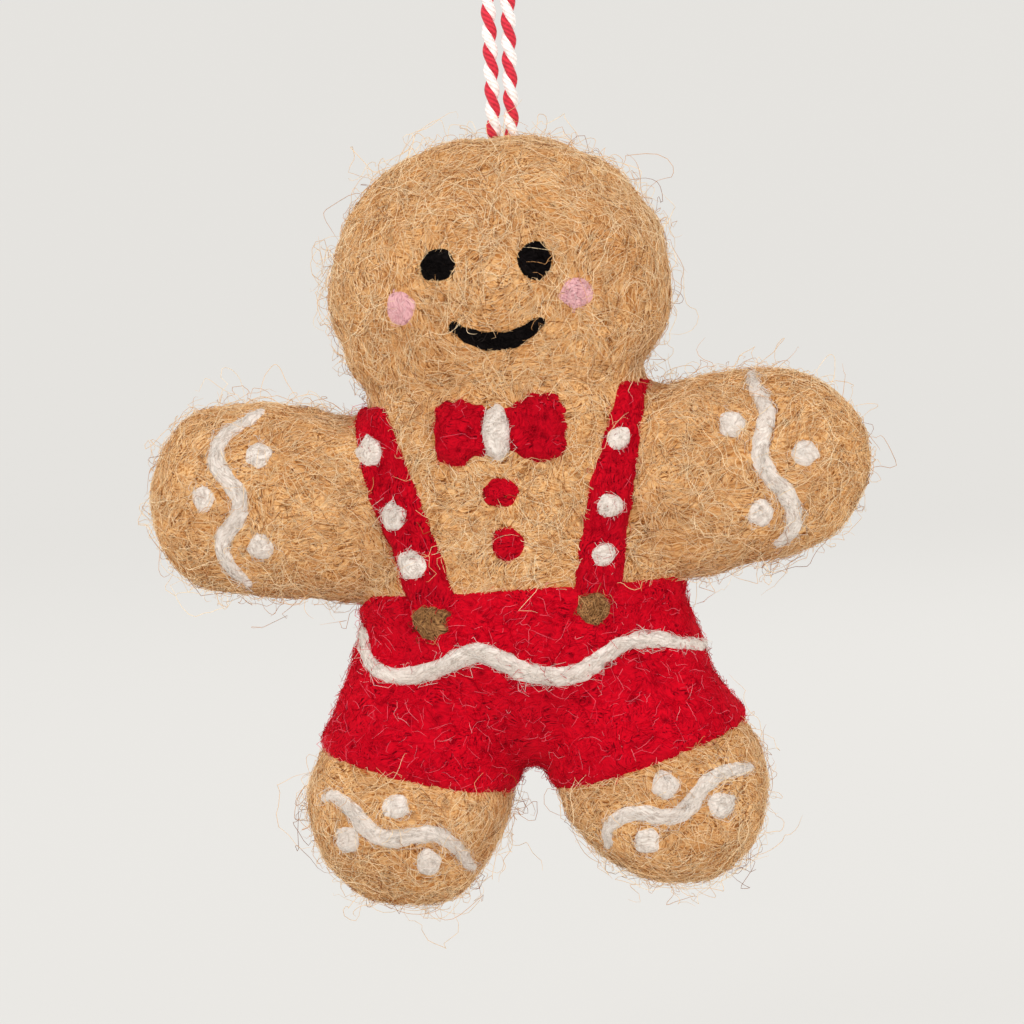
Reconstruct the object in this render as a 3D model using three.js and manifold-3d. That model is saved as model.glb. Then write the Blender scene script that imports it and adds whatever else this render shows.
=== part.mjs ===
// Needle-felted gingerbread figure on a loop of twine, a hanging Christmas ornament.
// Millimetres, +Z up. The front faces -Y. Left and right are the viewer's, so right is +X.
// The origin is the hang point, where the top bend of the loop rests on whatever holds it.
// The figure is modelled upright with its crown at zero, then hung from the loop with its natural lean.

import * as THREE from 'three';
import { mergeVertices } from 'three/addons/utils/BufferGeometryUtils.js';
import Module from 'manifold-3d';

const wasm = await Module();
wasm.setup();

// Seams and cutting
const seam = 0.3; // clearance between two felted pieces that lie on each other
const overrun = 60; // how far a cutting shape reaches past what it cuts
const weld = 0.001;
const sectionFullness = 2.4; // 2 is an ellipse, more is a fuller pillow section

// Head. Outline shares are half-width against distance from the crown.
const headWidth = 48;
const headHeight = 41; // down to the chin, which is sunk between the shoulders
const headDepth = 27;
const headOutlineShares = [
  [0.54, 0.068],
  [0.86, 0.246],
  [1, 0.463],
  [0.975, 0.678],
  [0.862, 0.839],
  [0.52, 0.956],
];

// Torso, from its hidden top inside the head to its hidden end between the thighs
const torsoTopDrop = 29;
const torsoHeight = 61;
const torsoWidth = 44;
const torsoDepth = 24;
const torsoOutlineShares = [
  [0.7, 0.066],
  [0.95, 0.133],
  [0.985, 0.262],
  [1, 0.59],
  [0.96, 0.72],
  [0.78, 0.85],
  [0.4, 0.965],
];

// Arms, each a mitten shape that starts inside the torso
const shoulderDrop = 51.2;
const armReach = { left: 30.4, right: 29 }; // from the torso's side to the fingertip
const armSeat = 10; // hidden root inside the torso
const armHeight = 27.8;
const armDepth = 20;
const armRise = { left: 4.8, right: 7.2 }; // degrees above level
const armOutlineShares = {
  left: [
    [0.72, 0.0875],
    [1, 0.26],
    [0.98, 0.46],
    [0.97, 0.665],
    [0.88, 0.84],
    [0.62, 0.935],
  ],
  right: [
    [0.72, 0.0875],
    [1, 0.26],
    [0.98, 0.46],
    [0.95, 0.665],
    [0.79, 0.84],
    [0.5, 0.935],
  ],
};

// Legs, splayed, each ending in a round foot
const footDrop = 95; // crown to the middle of the foot
const footSpread = 18.4; // midline to the middle of the foot
const footWidth = 29.2;
const legSplay = 20; // degrees off upright
const legLength = 49.7;
const legDepth = 21.6;
const legOutlineShares = [
  [0.62, 0.08],
  [0.83, 0.19],
  [0.84, 0.49],
  [1, 0.706],
  [0.837, 0.867],
  [0.517, 0.958],
];

// Shorts and braces, a felted layer that follows the body
const shortsWall = 1.2;
const waistDrop = 64.6;
const hemRise = 4.6; // above the middle of the foot, along the leg
const braceWall = 1.2;
const braceTopDrop = 33.5;
const braceTopSpread = { left: 20.6, right: 19.6 }; // midline to the strap's middle, over the shoulder
const braceWaistSpread = { left: 12, right: 12.1 };
const braceTopWidth = 4.4;
const braceWaistWidth = 6.8;

// Bow tie
const bowDrop = 41.9;
const bowShift = -0.7; // it sits a little left of the midline
const bowKnotWidth = 3.9;
const bowKnotHeight = 7.6;
const bowLobeWidth = { left: 6.7, right: 8 };
const bowLobeHeight = 10;
const bowThickness = 2.2;
const bowBevel = 0.9;
// Upper half of a lobe's outline: share of its width from the knot, then share of its half-height
const bowLobeOutlineShares = [
  [0, 0.6],
  [0.25, 0.74],
  [0.55, 0.95],
  [0.8, 1],
  [0.95, 0.86],
  [1, 0.55],
  [0.96, 0.15],
];

// Buttons, given as width and height
const buttonThickness = 1.4;
const chestButtonDiameter = 4.9;
const chestButtons = {
  upper: { drop: 50.8, shift: -0.6 },
  lower: { drop: 58, shift: -0.1 },
};
const braceButtonDiameter = 5;
const braceButtonDropBelowWaist = 3.6;
const braceButtonSpread = 11.7;

// Face. Place shares are of the head's half-width and of its height.
const eyeThickness = 1;
const eyes = {
  left: { width: 4.6, height: 4.2, placeShare: [-0.288, 0.446] },
  right: { width: 4.3, height: 5, placeShare: [0.28, 0.458] },
};
const cheekThickness = 0.8;
const cheekDiameter = 4.4;
const cheekPlaceShares = { left: [-0.529, 0.588], right: [0.508, 0.576] };
const mouthThickness = 0.8;
const mouthWidth = 13.2;
const mouthFall = 3.7; // from the corners to the bottom of the lower lip line
const mouthBand = 2.1; // widest, in the middle
const mouthPlaceShare = [0.017, 0.654];

// White icing. Waves are half-round beads and dots are low domes.
const beadDiameter = 2.1;
const beadSides = 8;
const beadSteps = 22;
const dotDiameter = 3.7;
const dotThickness = 1.3;

// Places on an arm: share of its reach from the torso, then share of its half-height, upwards
const armWaveShares = {
  left: [
    [0.477, 0.93],
    [0.634, 0.61],
    [0.623, 0.385],
    [0.56, 0.107],
    [0.558, -0.094],
    [0.617, -0.38],
    [0.591, -0.66],
    [0.525, -0.86],
  ],
  right: [
    [0.485, 0.93],
    [0.514, 0.684],
    [0.544, 0.436],
    [0.485, 0.176],
    [0.466, -0.02],
    [0.515, -0.302],
    [0.576, -0.558],
    [0.55, -0.753],
    [0.474, -0.89],
  ],
};
const armDotShares = {
  left: [
    [0.709, 0.033],
    [0.448, 0.485],
    [0.44, -0.45],
  ],
  right: [
    [0.7, 0.03],
    [0.386, 0.453],
    [0.435, -0.478],
  ],
};

// Places on a foot: shares of its radius from its middle, along the leg and then outwards
const footWaveShares = {
  left: [
    [0.11, 0.806],
    [0.034, 0.6],
    [0.158, 0.4],
    [0.3, 0.168],
    [0.293, -0.027],
    [0.16, -0.249],
    [0.12, -0.46],
    [0.209, -0.653],
    [0.382, -0.797],
  ],
  right: [
    [0.103, 0.867],
    [0.047, 0.654],
    [0.08, 0.466],
    [0.21, 0.303],
    [0.268, 0.106],
    [0.197, -0.13],
    [0.074, -0.385],
    [0.134, -0.618],
    [0.277, -0.707],
  ],
};
const footDotShares = {
  left: [
    [-0.043, 0.052],
    [0.421, 0.422],
    [0.403, -0.38],
  ],
  right: [
    [-0.025, 0.119],
    [0.363, 0.523],
    [0.403, -0.264],
  ],
};

// Places on the shorts: share of the torso's half-width, then share of the way from waist to feet
const shortsWaveShares = [
  [-1.036, 0.207],
  [-0.95, 0.293],
  [-0.823, 0.365],
  [-0.655, 0.359],
  [-0.459, 0.299],
  [-0.25, 0.273],
  [-0.09, 0.319],
  [0.068, 0.405],
  [0.232, 0.434],
  [0.382, 0.405],
  [0.555, 0.326],
  [0.7, 0.273],
  [0.877, 0.266],
  [1.04, 0.309],
  [1.1, 0.335],
];

// Places on a brace: share of the way from its top to the waist, then share of its half-width, outwards
const braceDotShares = {
  left: [
    [0.33, 0.45],
    [0.624, 0.23],
    [0.852, 0.13],
  ],
  right: [
    [0.341, -0.21],
    [0.64, -0.07],
    [0.862, 0.05],
  ],
};

// Twine, doubled and hung over a thin branch or hook
const twineDiameter = 2;
const twineSpacing = 2.6; // between the middles of the two strands where they enter the head
const twineSides = 8;
const twineSteps = 60;
const twineShift = 2; // from the figure's midline to the middle of the pair, where it enters the crown
const centreOfMassBelowAxis = 56; // of the wool figure, below the axis it swings on
const tailLength = 8; // of each strand inside the head
const tailKnotWidth = 8;
const tailKnotDepth = 5;
const tailKnotHeight = 6;
// Route of the twine's middle line from the left end over the top to the right end, seen from the front.
// It is chosen by hand: 60 mm of straight drop that opens slowly to a bend of 4.2 mm radius.
const twineRoute = [
  [-1.3, -65],
  [-1.3, -62.8],
  [-1.31, -60],
  [-1.36, -54],
  [-1.45, -47],
  [-1.7, -39],
  [-2.1, -31],
  [-2.6, -23],
  [-3.2, -15.5],
  [-3.8, -9],
  [-4.15, -5],
  [-4.1, -2.3],
  [-3.25, -0.1],
  [-1.7, 0.95],
  [0, 1.25],
  [1.7, 0.95],
  [3.25, -0.1],
  [4.1, -2.3],
  [4.15, -5],
  [3.8, -9],
  [3.2, -15.5],
  [2.6, -23],
  [2.1, -31],
  [1.7, -39],
  [1.45, -47],
  [1.36, -54],
  [1.31, -60],
  [1.3, -62.8],
  [1.3, -65],
];

// Mesh density of the curved forms
const formSides = { head: 30, torso: 26, arm: 22, leg: 22 };
const formRings = { head: 18, torso: 16, arm: 14, leg: 16 };
const dotSides = 10;
const dotRings = 6;
const curveSteps = 5;
const bevelSteps = 2;

// Wool and twine
const wool = (colour) => new THREE.MeshStandardMaterial({ color: colour, roughness: 0.95, metalness: 0 });
const tanWool = wool(0xd9b07f);
const redWool = wool(0xb8102a);
const whiteWool = wool(0xf3ece6);
const blackWool = wool(0x15131a);
const pinkWool = wool(0xe8b0c4);
const oliveWool = wool(0x7a6b48);
const twineCotton = wool(0xe07a80);

const degrees = (angle) => THREE.MathUtils.degToRad(angle);
const sideSign = { left: -1, right: 1 };
const sides = Object.keys(sideSign);

// Solids: a geometry goes to a solid to be cut or joined, and back

function solidOf(geometry) {
  const bare = geometry.clone();
  bare.deleteAttribute('normal');
  bare.deleteAttribute('uv');
  const merged = mergeVertices(bare, weld);
  const corners = merged.index.array;
  const triVerts = [];
  for (let i = 0; i < corners.length; i += 3) {
    const [a, b, c] = corners.slice(i, i + 3);
    if (a !== b && b !== c && c !== a) triVerts.push(a, b, c);
  }
  return new wasm.Manifold(
    new wasm.Mesh({
      numProp: 3,
      vertProperties: merged.attributes.position.array,
      triVerts: new Uint32Array(triVerts),
    }),
  );
}

function geometryOf(solid) {
  const { vertProperties, triVerts } = solid.getMesh();
  const geometry = new THREE.BufferGeometry();
  geometry.setAttribute('position', new THREE.BufferAttribute(vertProperties, 3));
  geometry.setIndex(new THREE.BufferAttribute(triVerts, 1));
  geometry.computeVertexNormals();
  return geometry;
}

const joined = (solids) => solids.reduce((whole, solid) => whole.add(solid));

// A form pushed out along its normals, for a layer that lies on it or the clearance round it
function grown(form, distance) {
  const geometry = form.clone();
  const place = geometry.attributes.position;
  const normal = geometry.attributes.normal;
  const at = new THREE.Vector3();
  const out = new THREE.Vector3();
  for (let i = 0; i < place.count; i++) {
    at.fromBufferAttribute(place, i).addScaledVector(out.fromBufferAttribute(normal, i), distance);
    place.setXYZ(i, at.x, at.y, at.z);
  }
  return geometry;
}

const grownSolid = (form, distance) => solidOf(grown(form, distance));

// A soft form hangs down from its top pole. Its outline is turned about its axis and then flattened,
// and its section is filled out from an ellipse towards a pillow.
function softForm({ width, depth, length, outlineShares, about, along }) {
  const side = outlineShares.map(
    ([across, down]) => new THREE.Vector3((across * width) / 2, -down * length, 0),
  );
  const otherSide = side.map((point) => new THREE.Vector3(-point.x, point.y, 0)).reverse();
  const top = new THREE.Vector3(0, 0, 0);
  const bottom = new THREE.Vector3(0, -length, 0);
  const outline = new THREE.CatmullRomCurve3(
    [bottom, ...side.reverse(), top, ...otherSide.reverse()],
    true,
  );
  outline.curveType = 'centripetal';
  const profile = [];
  for (let i = 0; i <= along; i++) {
    const point = outline.getPointAt(i / along / 2);
    const onAxis = i === 0 || i === along;
    profile.push(new THREE.Vector2(onAxis ? 0 : point.x, point.y));
  }
  const geometry = new THREE.LatheGeometry(profile, about).rotateX(degrees(90));
  const place = geometry.attributes.position;
  for (let i = 0; i < place.count; i++) {
    const x = place.getX(i);
    const y = place.getY(i);
    const radius = Math.hypot(x, y);
    if (radius < weld) continue;
    const fullness = Math.abs(x / radius) ** sectionFullness + Math.abs(y / radius) ** sectionFullness;
    const swell = 1 / fullness ** (1 / sectionFullness);
    place.setXY(i, x * swell, (y * swell * depth) / width);
  }
  return geometryOf(solidOf(geometry));
}

// Body forms, whole, in the figure's own frame

const headForm = softForm({
  width: headWidth,
  depth: headDepth,
  length: headHeight,
  outlineShares: headOutlineShares,
  about: formSides.head,
  along: formRings.head,
});

const torsoForm = softForm({
  width: torsoWidth,
  depth: torsoDepth,
  length: torsoHeight,
  outlineShares: torsoOutlineShares,
  about: formSides.torso,
  along: formRings.torso,
}).translate(0, 0, -torsoTopDrop);

// An arm's frame is at the torso's side, with -Z running to the fingertip
function armFrame(side) {
  const shoulder = new THREE.Matrix4().makeTranslation((sideSign[side] * torsoWidth) / 2, 0, -shoulderDrop);
  const turn = new THREE.Matrix4().makeRotationY(-sideSign[side] * degrees(90 + armRise[side]));
  return shoulder.multiply(turn);
}

function armForm(side) {
  return softForm({
    width: armHeight,
    depth: armDepth,
    length: armSeat + armReach[side],
    outlineShares: armOutlineShares[side],
    about: formSides.arm,
    along: formRings.arm,
  })
    .translate(0, 0, armSeat)
    .applyMatrix4(armFrame(side));
}

// A leg's frame is at the middle of the foot, with -Z running down the leg
function footFrame(side) {
  const middle = new THREE.Matrix4().makeTranslation(sideSign[side] * footSpread, 0, -footDrop);
  const turn = new THREE.Matrix4().makeRotationY(-sideSign[side] * degrees(legSplay));
  return middle.multiply(turn);
}

function legForm(side) {
  return softForm({
    width: footWidth,
    depth: legDepth,
    length: legLength,
    outlineShares: legOutlineShares,
    about: formSides.leg,
    along: formRings.leg,
  })
    .translate(0, 0, legLength - footWidth / 2)
    .applyMatrix4(footFrame(side));
}

const bothSides = (make) => Object.fromEntries(sides.map((side) => [side, make(side)]));
const armForms = bothSides(armForm);
const legForms = bothSides(legForm);

// A layer of felt over some forms: the solid out to its surface, that surface, and the room it takes
// from whatever lies on it
function layer(forms, height) {
  const solid = joined(forms.map((form) => grownSolid(form, height)));
  const room = joined(forms.map((form) => grownSolid(form, height + seam)));
  return { solid, surface: geometryOf(solid), room };
}

// Surface points, found by looking at the front of a surface

function hit(surface, from, towards) {
  const caster = new THREE.Raycaster(from, towards);
  const [found] = caster.intersectObject(new THREE.Mesh(surface));
  if (!found) throw new Error(`no surface at ${from.x}, ${from.z}`);
  return found;
}

const frontOf = (surface, x, z) =>
  hit(surface, new THREE.Vector3(x, -overrun, z), new THREE.Vector3(0, 1, 0));

// A frame on the surface: Z along its normal, Y up, X to the right
function seatOn(surface, x, z) {
  const { point, face } = frontOf(surface, x, z);
  const up = new THREE.Vector3(0, 0, 1);
  const across = new THREE.Vector3().crossVectors(up, face.normal).normalize();
  const rise = new THREE.Vector3().crossVectors(face.normal, across);
  return new THREE.Matrix4().makeBasis(across, rise, face.normal).setPosition(point);
}

// Cutting shapes: a front outline carried right through the figure
function throughCut(outline) {
  const shape = new THREE.Shape(outline.map(([x, z]) => new THREE.Vector2(x, z)));
  const prism = new THREE.ExtrudeGeometry(shape, { depth: 2 * overrun, bevelEnabled: false });
  return solidOf(prism.rotateX(degrees(90)).translate(0, overrun, 0));
}

// A low dome of wool on a layer
function dome(base, { x, z, width, height = width, thickness }) {
  const ball = new THREE.SphereGeometry(1, dotSides, dotRings).rotateX(degrees(90));
  ball.scale(width / 2, height / 2, thickness).translate(0, 0, seam);
  return solidOf(ball.applyMatrix4(seatOn(base.surface, x, z))).subtract(base.room);
}

// A thick outline with soft edges on a layer
function pad(base, { x, z, shape, thickness }) {
  const slab = new THREE.ExtrudeGeometry(shape, {
    depth: 2 * (thickness - bowBevel),
    bevelThickness: bowBevel,
    bevelSize: bowBevel,
    bevelOffset: -bowBevel,
    bevelSegments: bevelSteps,
    curveSegments: curveSteps,
  });
  slab.translate(0, 0, bowBevel - thickness).applyMatrix4(seatOn(base.surface, x, z));
  return solidOf(slab).subtract(base.room);
}

// A half-round bead of wool along places on a layer, with round ends
function bead(base, places) {
  const radius = beadDiameter / 2;
  const points = places.map(([x, z]) => frontOf(base.surface, x, z).point);
  const path = new THREE.CatmullRomCurve3(points, false, 'centripetal');
  const section = circle(radius, beadSides);
  const tube = new THREE.ExtrudeGeometry(section, {
    steps: beadSteps,
    extrudePath: path,
    bevelEnabled: false,
  });
  const ends = [points[0], points[points.length - 1]].map((point) =>
    solidOf(new THREE.SphereGeometry(radius, beadSides, dotRings).translate(point.x, point.y, point.z)),
  );
  return joined([solidOf(tube), ...ends]).subtract(base.room);
}

function circle(radius, count) {
  const points = [];
  for (let i = 0; i < count; i++) {
    const turn = (i / count) * 2 * Math.PI;
    points.push(new THREE.Vector2(radius * Math.cos(turn), radius * Math.sin(turn)));
  }
  return new THREE.Shape(points);
}

// A place in a limb's frame, as a front view place [x, z] of the figure
function placeIn(frame, across, along) {
  const at = new THREE.Vector3(across, 0, along).applyMatrix4(frame);
  return [at.x, at.z];
}

const onArm = (side) => ([along, up]) =>
  placeIn(armFrame(side), (sideSign[side] * up * armHeight) / 2, -along * armReach[side]);
const onFoot = (side) => ([along, outwards]) =>
  placeIn(footFrame(side), (sideSign[side] * outwards * footWidth) / 2, (-along * footWidth) / 2);
const onHead = ([across, down]) => [(across * headWidth) / 2, -down * headHeight];
const onShorts = ([across, down]) => [
  (across * torsoWidth) / 2,
  -THREE.MathUtils.lerp(waistDrop, footDrop, down),
];

// Twine and the hang

const twineRadius = twineDiameter / 2;
const strandShifts = [-twineSpacing / 2, twineSpacing / 2];
const routePoints = twineRoute.map(([x, z]) => new THREE.Vector3(x, 0, z));
const swingAxis = new THREE.Vector3(0, 0, routePoints[0].z); // through both ends of the loop

function twineLoop() {
  const path = new THREE.CatmullRomCurve3(routePoints, false, 'centripetal');
  const section = circle(twineRadius, twineSides);
  const tube = new THREE.ExtrudeGeometry(section, {
    steps: twineSteps,
    extrudePath: path,
    bevelEnabled: false,
  });
  const ends = [routePoints[0], routePoints[routePoints.length - 1]].map((end) => {
    const ball = new THREE.SphereGeometry(twineRadius, twineSides, dotRings).rotateX(degrees(90));
    return solidOf(ball.translate(end.x, end.y, end.z));
  });
  return joined([solidOf(tube), ...ends]);
}

const overCrown = new THREE.Vector3(twineShift, 0, overrun);
const crownAtEntry = hit(headForm, overCrown, new THREE.Vector3(0, 0, -1)).point;

// The two tails go down into the head and end in one knot
function twineAnchor(extra, topZ) {
  const bottomZ = crownAtEntry.z - tailLength;
  const tails = strandShifts.map((shift) => {
    const radius = twineRadius + extra;
    const tail = new THREE.CylinderGeometry(radius, radius, topZ - bottomZ, twineSides);
    return solidOf(tail.rotateX(degrees(90)).translate(twineShift + shift, 0, (topZ + bottomZ) / 2));
  });
  const knot = new THREE.SphereGeometry(1, dotSides, dotRings).rotateX(degrees(90));
  knot.scale(tailKnotWidth / 2 + extra, tailKnotDepth / 2 + extra, tailKnotHeight / 2 + extra);
  knot.translate(twineShift, 0, bottomZ);
  return joined([...tails, solidOf(knot)]);
}

// The pocket for them, with the bridge between the two tails' holes cut away
function anchorPocket() {
  const bridge = new THREE.BoxGeometry(twineSpacing, twineDiameter, tailLength + overrun);
  bridge.translate(twineShift, 0, crownAtEntry.z + (overrun - tailLength) / 2);
  return twineAnchor(seam, overrun).add(solidOf(bridge));
}

// Body pieces, each cut by the larger ones

const headLayer = layer([headForm], 0);
const torsoLayer = layer([torsoForm], 0);
const armLayers = bothSides((side) => layer([armForms[side]], 0));
const legLayers = bothSides((side) => layer([legForms[side]], 0));

const head = headLayer.solid.subtract(anchorPocket());
const torso = torsoLayer.solid.subtract(headLayer.room);

const armOf = (side) => armLayers[side].solid.subtract(torsoLayer.room).subtract(headLayer.room);

function legOf(side) {
  const outer = sideSign[side] * overrun;
  const inner = (sideSign[side] * seam) / 2;
  const ownHalf = [
    [Math.min(inner, outer), overrun],
    [Math.min(inner, outer), -footDrop - overrun],
    [Math.max(inner, outer), -footDrop - overrun],
    [Math.max(inner, outer), overrun],
  ];
  return legLayers[side].solid.subtract(torsoLayer.room).intersect(throughCut(ownHalf));
}

// Clothes, each the space between the body's room and an outer layer

const shortsLayer = layer([torsoForm, ...Object.values(legForms)], seam + shortsWall);
const braceLayers = bothSides((side) => layer([torsoForm, armForms[side]], seam + braceWall));
const hipRoom = joined([torsoLayer.room, ...sides.map((side) => legLayers[side].room)]);
const armRoom = joined(sides.map((side) => armLayers[side].room));

// The hem is square to the leg, and both hems meet at the midline below the crotch
function hemLine(side) {
  const frame = footFrame(side);
  const onLeg = placeIn(frame, 0, hemRise);
  const outside = placeIn(frame, sideSign[side] * overrun, hemRise);
  const fall = (outside[1] - onLeg[1]) / (outside[0] - onLeg[0]);
  return { outside, middle: [0, onLeg[1] - onLeg[0] * fall] };
}

function shorts() {
  const left = hemLine('left');
  const right = hemLine('right');
  const outline = [
    [left.outside[0], -waistDrop],
    left.outside,
    left.middle,
    right.outside,
    [right.outside[0], -waistDrop],
  ];
  return shortsLayer.solid.subtract(hipRoom).intersect(throughCut(outline)).subtract(armRoom);
}

// Middle of a brace at a share of the way from its top to the waist, and its half-width there
function braceAt(side, share) {
  const spread = THREE.MathUtils.lerp(braceTopSpread[side], braceWaistSpread[side], share);
  const halfWidth = THREE.MathUtils.lerp(braceTopWidth, braceWaistWidth, share) / 2;
  const z = -THREE.MathUtils.lerp(braceTopDrop, waistDrop - seam, share);
  return { x: sideSign[side] * spread, z, halfWidth };
}

function brace(side) {
  const top = braceAt(side, 0);
  const waist = braceAt(side, 1);
  const outline = [
    [top.x - top.halfWidth, top.z],
    [waist.x - waist.halfWidth, waist.z],
    [waist.x + waist.halfWidth, waist.z],
    [top.x + top.halfWidth, top.z],
  ];
  const bodyRoom = joined([torsoLayer.room, armLayers[side].room, headLayer.room]);
  return braceLayers[side].solid.subtract(bodyRoom).intersect(throughCut(outline));
}

// Bow tie: two lobes that widen away from the knot

function bowLobe(side) {
  const width = bowLobeWidth[side];
  const upper = bowLobeOutlineShares.map(([out, up]) => [
    out * width - width / 2,
    (up * bowLobeHeight) / 2,
  ]);
  const lower = upper.map(([x, y]) => [x, -y]).reverse();
  const points = [...upper, ...lower].map(([x, y]) => new THREE.Vector2(sideSign[side] * x, y));
  const middle = bowShift + sideSign[side] * (bowKnotWidth / 2 + seam + width / 2);
  const shape = new THREE.Shape(points);
  return pad(torsoLayer, { x: middle, z: -bowDrop, shape, thickness: bowThickness });
}

function bowKnot() {
  const shape = new THREE.Shape();
  shape.absellipse(0, 0, bowKnotWidth / 2, bowKnotHeight / 2, 0, 2 * Math.PI);
  return pad(torsoLayer, { x: bowShift, z: -bowDrop, shape, thickness: bowThickness + seam });
}

// The mouth is a crescent of even thickness that follows the face
function mouth() {
  const [x, z] = onHead(mouthPlaceShare);
  const halfWidth = mouthWidth / 2;
  const shape = new THREE.Shape();
  shape.moveTo(x - halfWidth, z);
  shape.quadraticCurveTo(x, z - 2 * mouthFall, x + halfWidth, z);
  shape.quadraticCurveTo(x, z - 2 * (mouthFall - mouthBand), x - halfWidth, z);
  const outline = shape.getPoints(curveSteps * 2).map((point) => [point.x, point.y]);
  const frontHalf = new THREE.BoxGeometry(2 * overrun, overrun, 2 * overrun).translate(0, -overrun / 2, 0);
  return grownSolid(headForm, seam + mouthThickness)
    .subtract(headLayer.room)
    .intersect(throughCut(outline))
    .intersect(solidOf(frontHalf));
}

// Assembly

const figure = new THREE.Group();

function addPiece(name, solid, material, group = figure) {
  const mesh = new THREE.Mesh(geometryOf(solid), material);
  mesh.name = name;
  group.add(mesh);
}

addPiece('head', head, tanWool);
addPiece('torso', torso, tanWool);
for (const side of sides) {
  addPiece(`arm_${side}`, armOf(side), tanWool);
  addPiece(`leg_${side}`, legOf(side), tanWool);
}

addPiece('shorts', shorts(), redWool);
for (const side of sides) addPiece(`brace_${side}`, brace(side), redWool);

for (const side of sides) addPiece(`bow_lobe_${side}`, bowLobe(side), redWool);
addPiece('bow_knot', bowKnot(), whiteWool);

for (const [name, { drop, shift }] of Object.entries(chestButtons)) {
  const button = { x: shift, z: -drop, width: chestButtonDiameter, thickness: buttonThickness };
  addPiece(`chest_button_${name}`, dome(torsoLayer, button), redWool);
}
for (const side of sides) {
  const x = sideSign[side] * braceButtonSpread;
  const z = -waistDrop - braceButtonDropBelowWaist;
  const button = { x, z, width: braceButtonDiameter, thickness: buttonThickness };
  addPiece(`brace_button_${side}`, dome(shortsLayer, button), oliveWool);
}

for (const side of sides) {
  const { width, height, placeShare } = eyes[side];
  const [x, z] = onHead(placeShare);
  addPiece(`eye_${side}`, dome(headLayer, { x, z, width, height, thickness: eyeThickness }), blackWool);
}
addPiece('mouth', mouth(), blackWool);
for (const side of sides) {
  const [x, z] = onHead(cheekPlaceShares[side]);
  const cheek = dome(headLayer, { x, z, width: cheekDiameter, thickness: cheekThickness });
  addPiece(`cheek_${side}`, cheek, pinkWool);
}

for (const side of sides) {
  addPiece(`arm_wave_${side}`, bead(armLayers[side], armWaveShares[side].map(onArm(side))), whiteWool);
  addPiece(`foot_wave_${side}`, bead(legLayers[side], footWaveShares[side].map(onFoot(side))), whiteWool);
}
addPiece('shorts_wave', bead(shortsLayer, shortsWaveShares.map(onShorts)), whiteWool);

function addDots(name, base, places) {
  places.forEach(([x, z], i) => {
    const dot = { x, z, width: dotDiameter, thickness: dotThickness };
    addPiece(`${name}_${i + 1}`, dome(base, dot), whiteWool);
  });
}

for (const side of sides) {
  addDots(`arm_dot_${side}`, armLayers[side], armDotShares[side].map(onArm(side)));
  addDots(`foot_dot_${side}`, legLayers[side], footDotShares[side].map(onFoot(side)));
  const onBrace = braceDotShares[side].map(([down, outwards]) => {
    const { x, z, halfWidth } = braceAt(side, down);
    return [x + sideSign[side] * outwards * halfWidth, z];
  });
  addDots(`brace_dot_${side}`, braceLayers[side], onBrace);
}

addPiece('twine_anchor', twineAnchor(0, crownAtEntry.z - seam), twineCotton);

// The pair of strands enters beside the midline, so the figure leans until its weight is under them.
// The swing axis is as far above the crown as the round ends of the strands need.
const lean = Math.atan2(twineShift, centreOfMassBelowAxis);
const axisInFigure = new THREE.Vector3(twineShift, 0, crownAtEntry.z + twineRadius + seam);
figure.rotation.y = -lean;
figure.position.copy(swingAxis).sub(axisInFigure.applyEuler(figure.rotation));

const group = new THREE.Group();
group.add(figure);
addPiece('twine_loop', twineLoop(), twineCotton, group);

export default group;
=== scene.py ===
# %% [markdown]
# # A needle-felted gingerbread figure on a loop of twine
# The real ornament is wool, poked with a barbed needle until it mats into a firm body. Nothing on it is
# sewn or glued. Its look comes from three things: soft lumpy forms, the small pits that the needle
# leaves, and thousands of curly fibres that lie on the surface or stand off it.
# This lesson builds the forms as meshes, and lets Geometry Nodes lay the fibres.

# %% The frame
import math
from functools import partial

import bmesh
import bpy
import numpy as np
from mathutils import Euler, Matrix, Vector, noise


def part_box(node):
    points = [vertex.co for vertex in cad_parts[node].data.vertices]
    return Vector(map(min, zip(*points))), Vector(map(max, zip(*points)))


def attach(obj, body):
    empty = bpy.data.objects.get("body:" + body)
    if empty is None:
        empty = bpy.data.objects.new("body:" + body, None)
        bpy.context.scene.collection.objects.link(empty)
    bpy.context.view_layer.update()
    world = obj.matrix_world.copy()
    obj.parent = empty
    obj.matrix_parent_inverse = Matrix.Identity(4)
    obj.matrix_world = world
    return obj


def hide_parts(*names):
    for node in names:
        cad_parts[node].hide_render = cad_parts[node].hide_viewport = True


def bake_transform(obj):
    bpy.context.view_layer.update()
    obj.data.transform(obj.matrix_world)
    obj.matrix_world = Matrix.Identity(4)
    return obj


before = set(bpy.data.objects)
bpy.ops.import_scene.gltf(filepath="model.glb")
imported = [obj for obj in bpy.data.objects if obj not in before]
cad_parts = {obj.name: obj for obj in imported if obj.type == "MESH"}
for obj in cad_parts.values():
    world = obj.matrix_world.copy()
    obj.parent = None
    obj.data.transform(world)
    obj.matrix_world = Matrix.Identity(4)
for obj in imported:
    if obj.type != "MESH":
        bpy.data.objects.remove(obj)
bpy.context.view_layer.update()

# %% [markdown]
# ## Units and the figure's own frame
# The scene is in metres, and places on the figure are easier to give in millimetres from its crown. The
# figure hangs with a small lean, so one pair of functions goes between the two frames.

# %% Places on the figure
MM = 0.001
LEAN = math.atan2(2, 56)
COS, SIN = math.cos(LEAN), math.sin(LEAN)
CROWN = np.array([-1.95, -66.32])  # in the scene, in millimetres, across and up


def in_scene(x, up):
    """A place on the figure, in millimetres from its crown, as a point of the scene in metres."""
    return Vector((x * COS - up * SIN + CROWN[0], 0, x * SIN + up * COS + CROWN[1])) * MM


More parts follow.
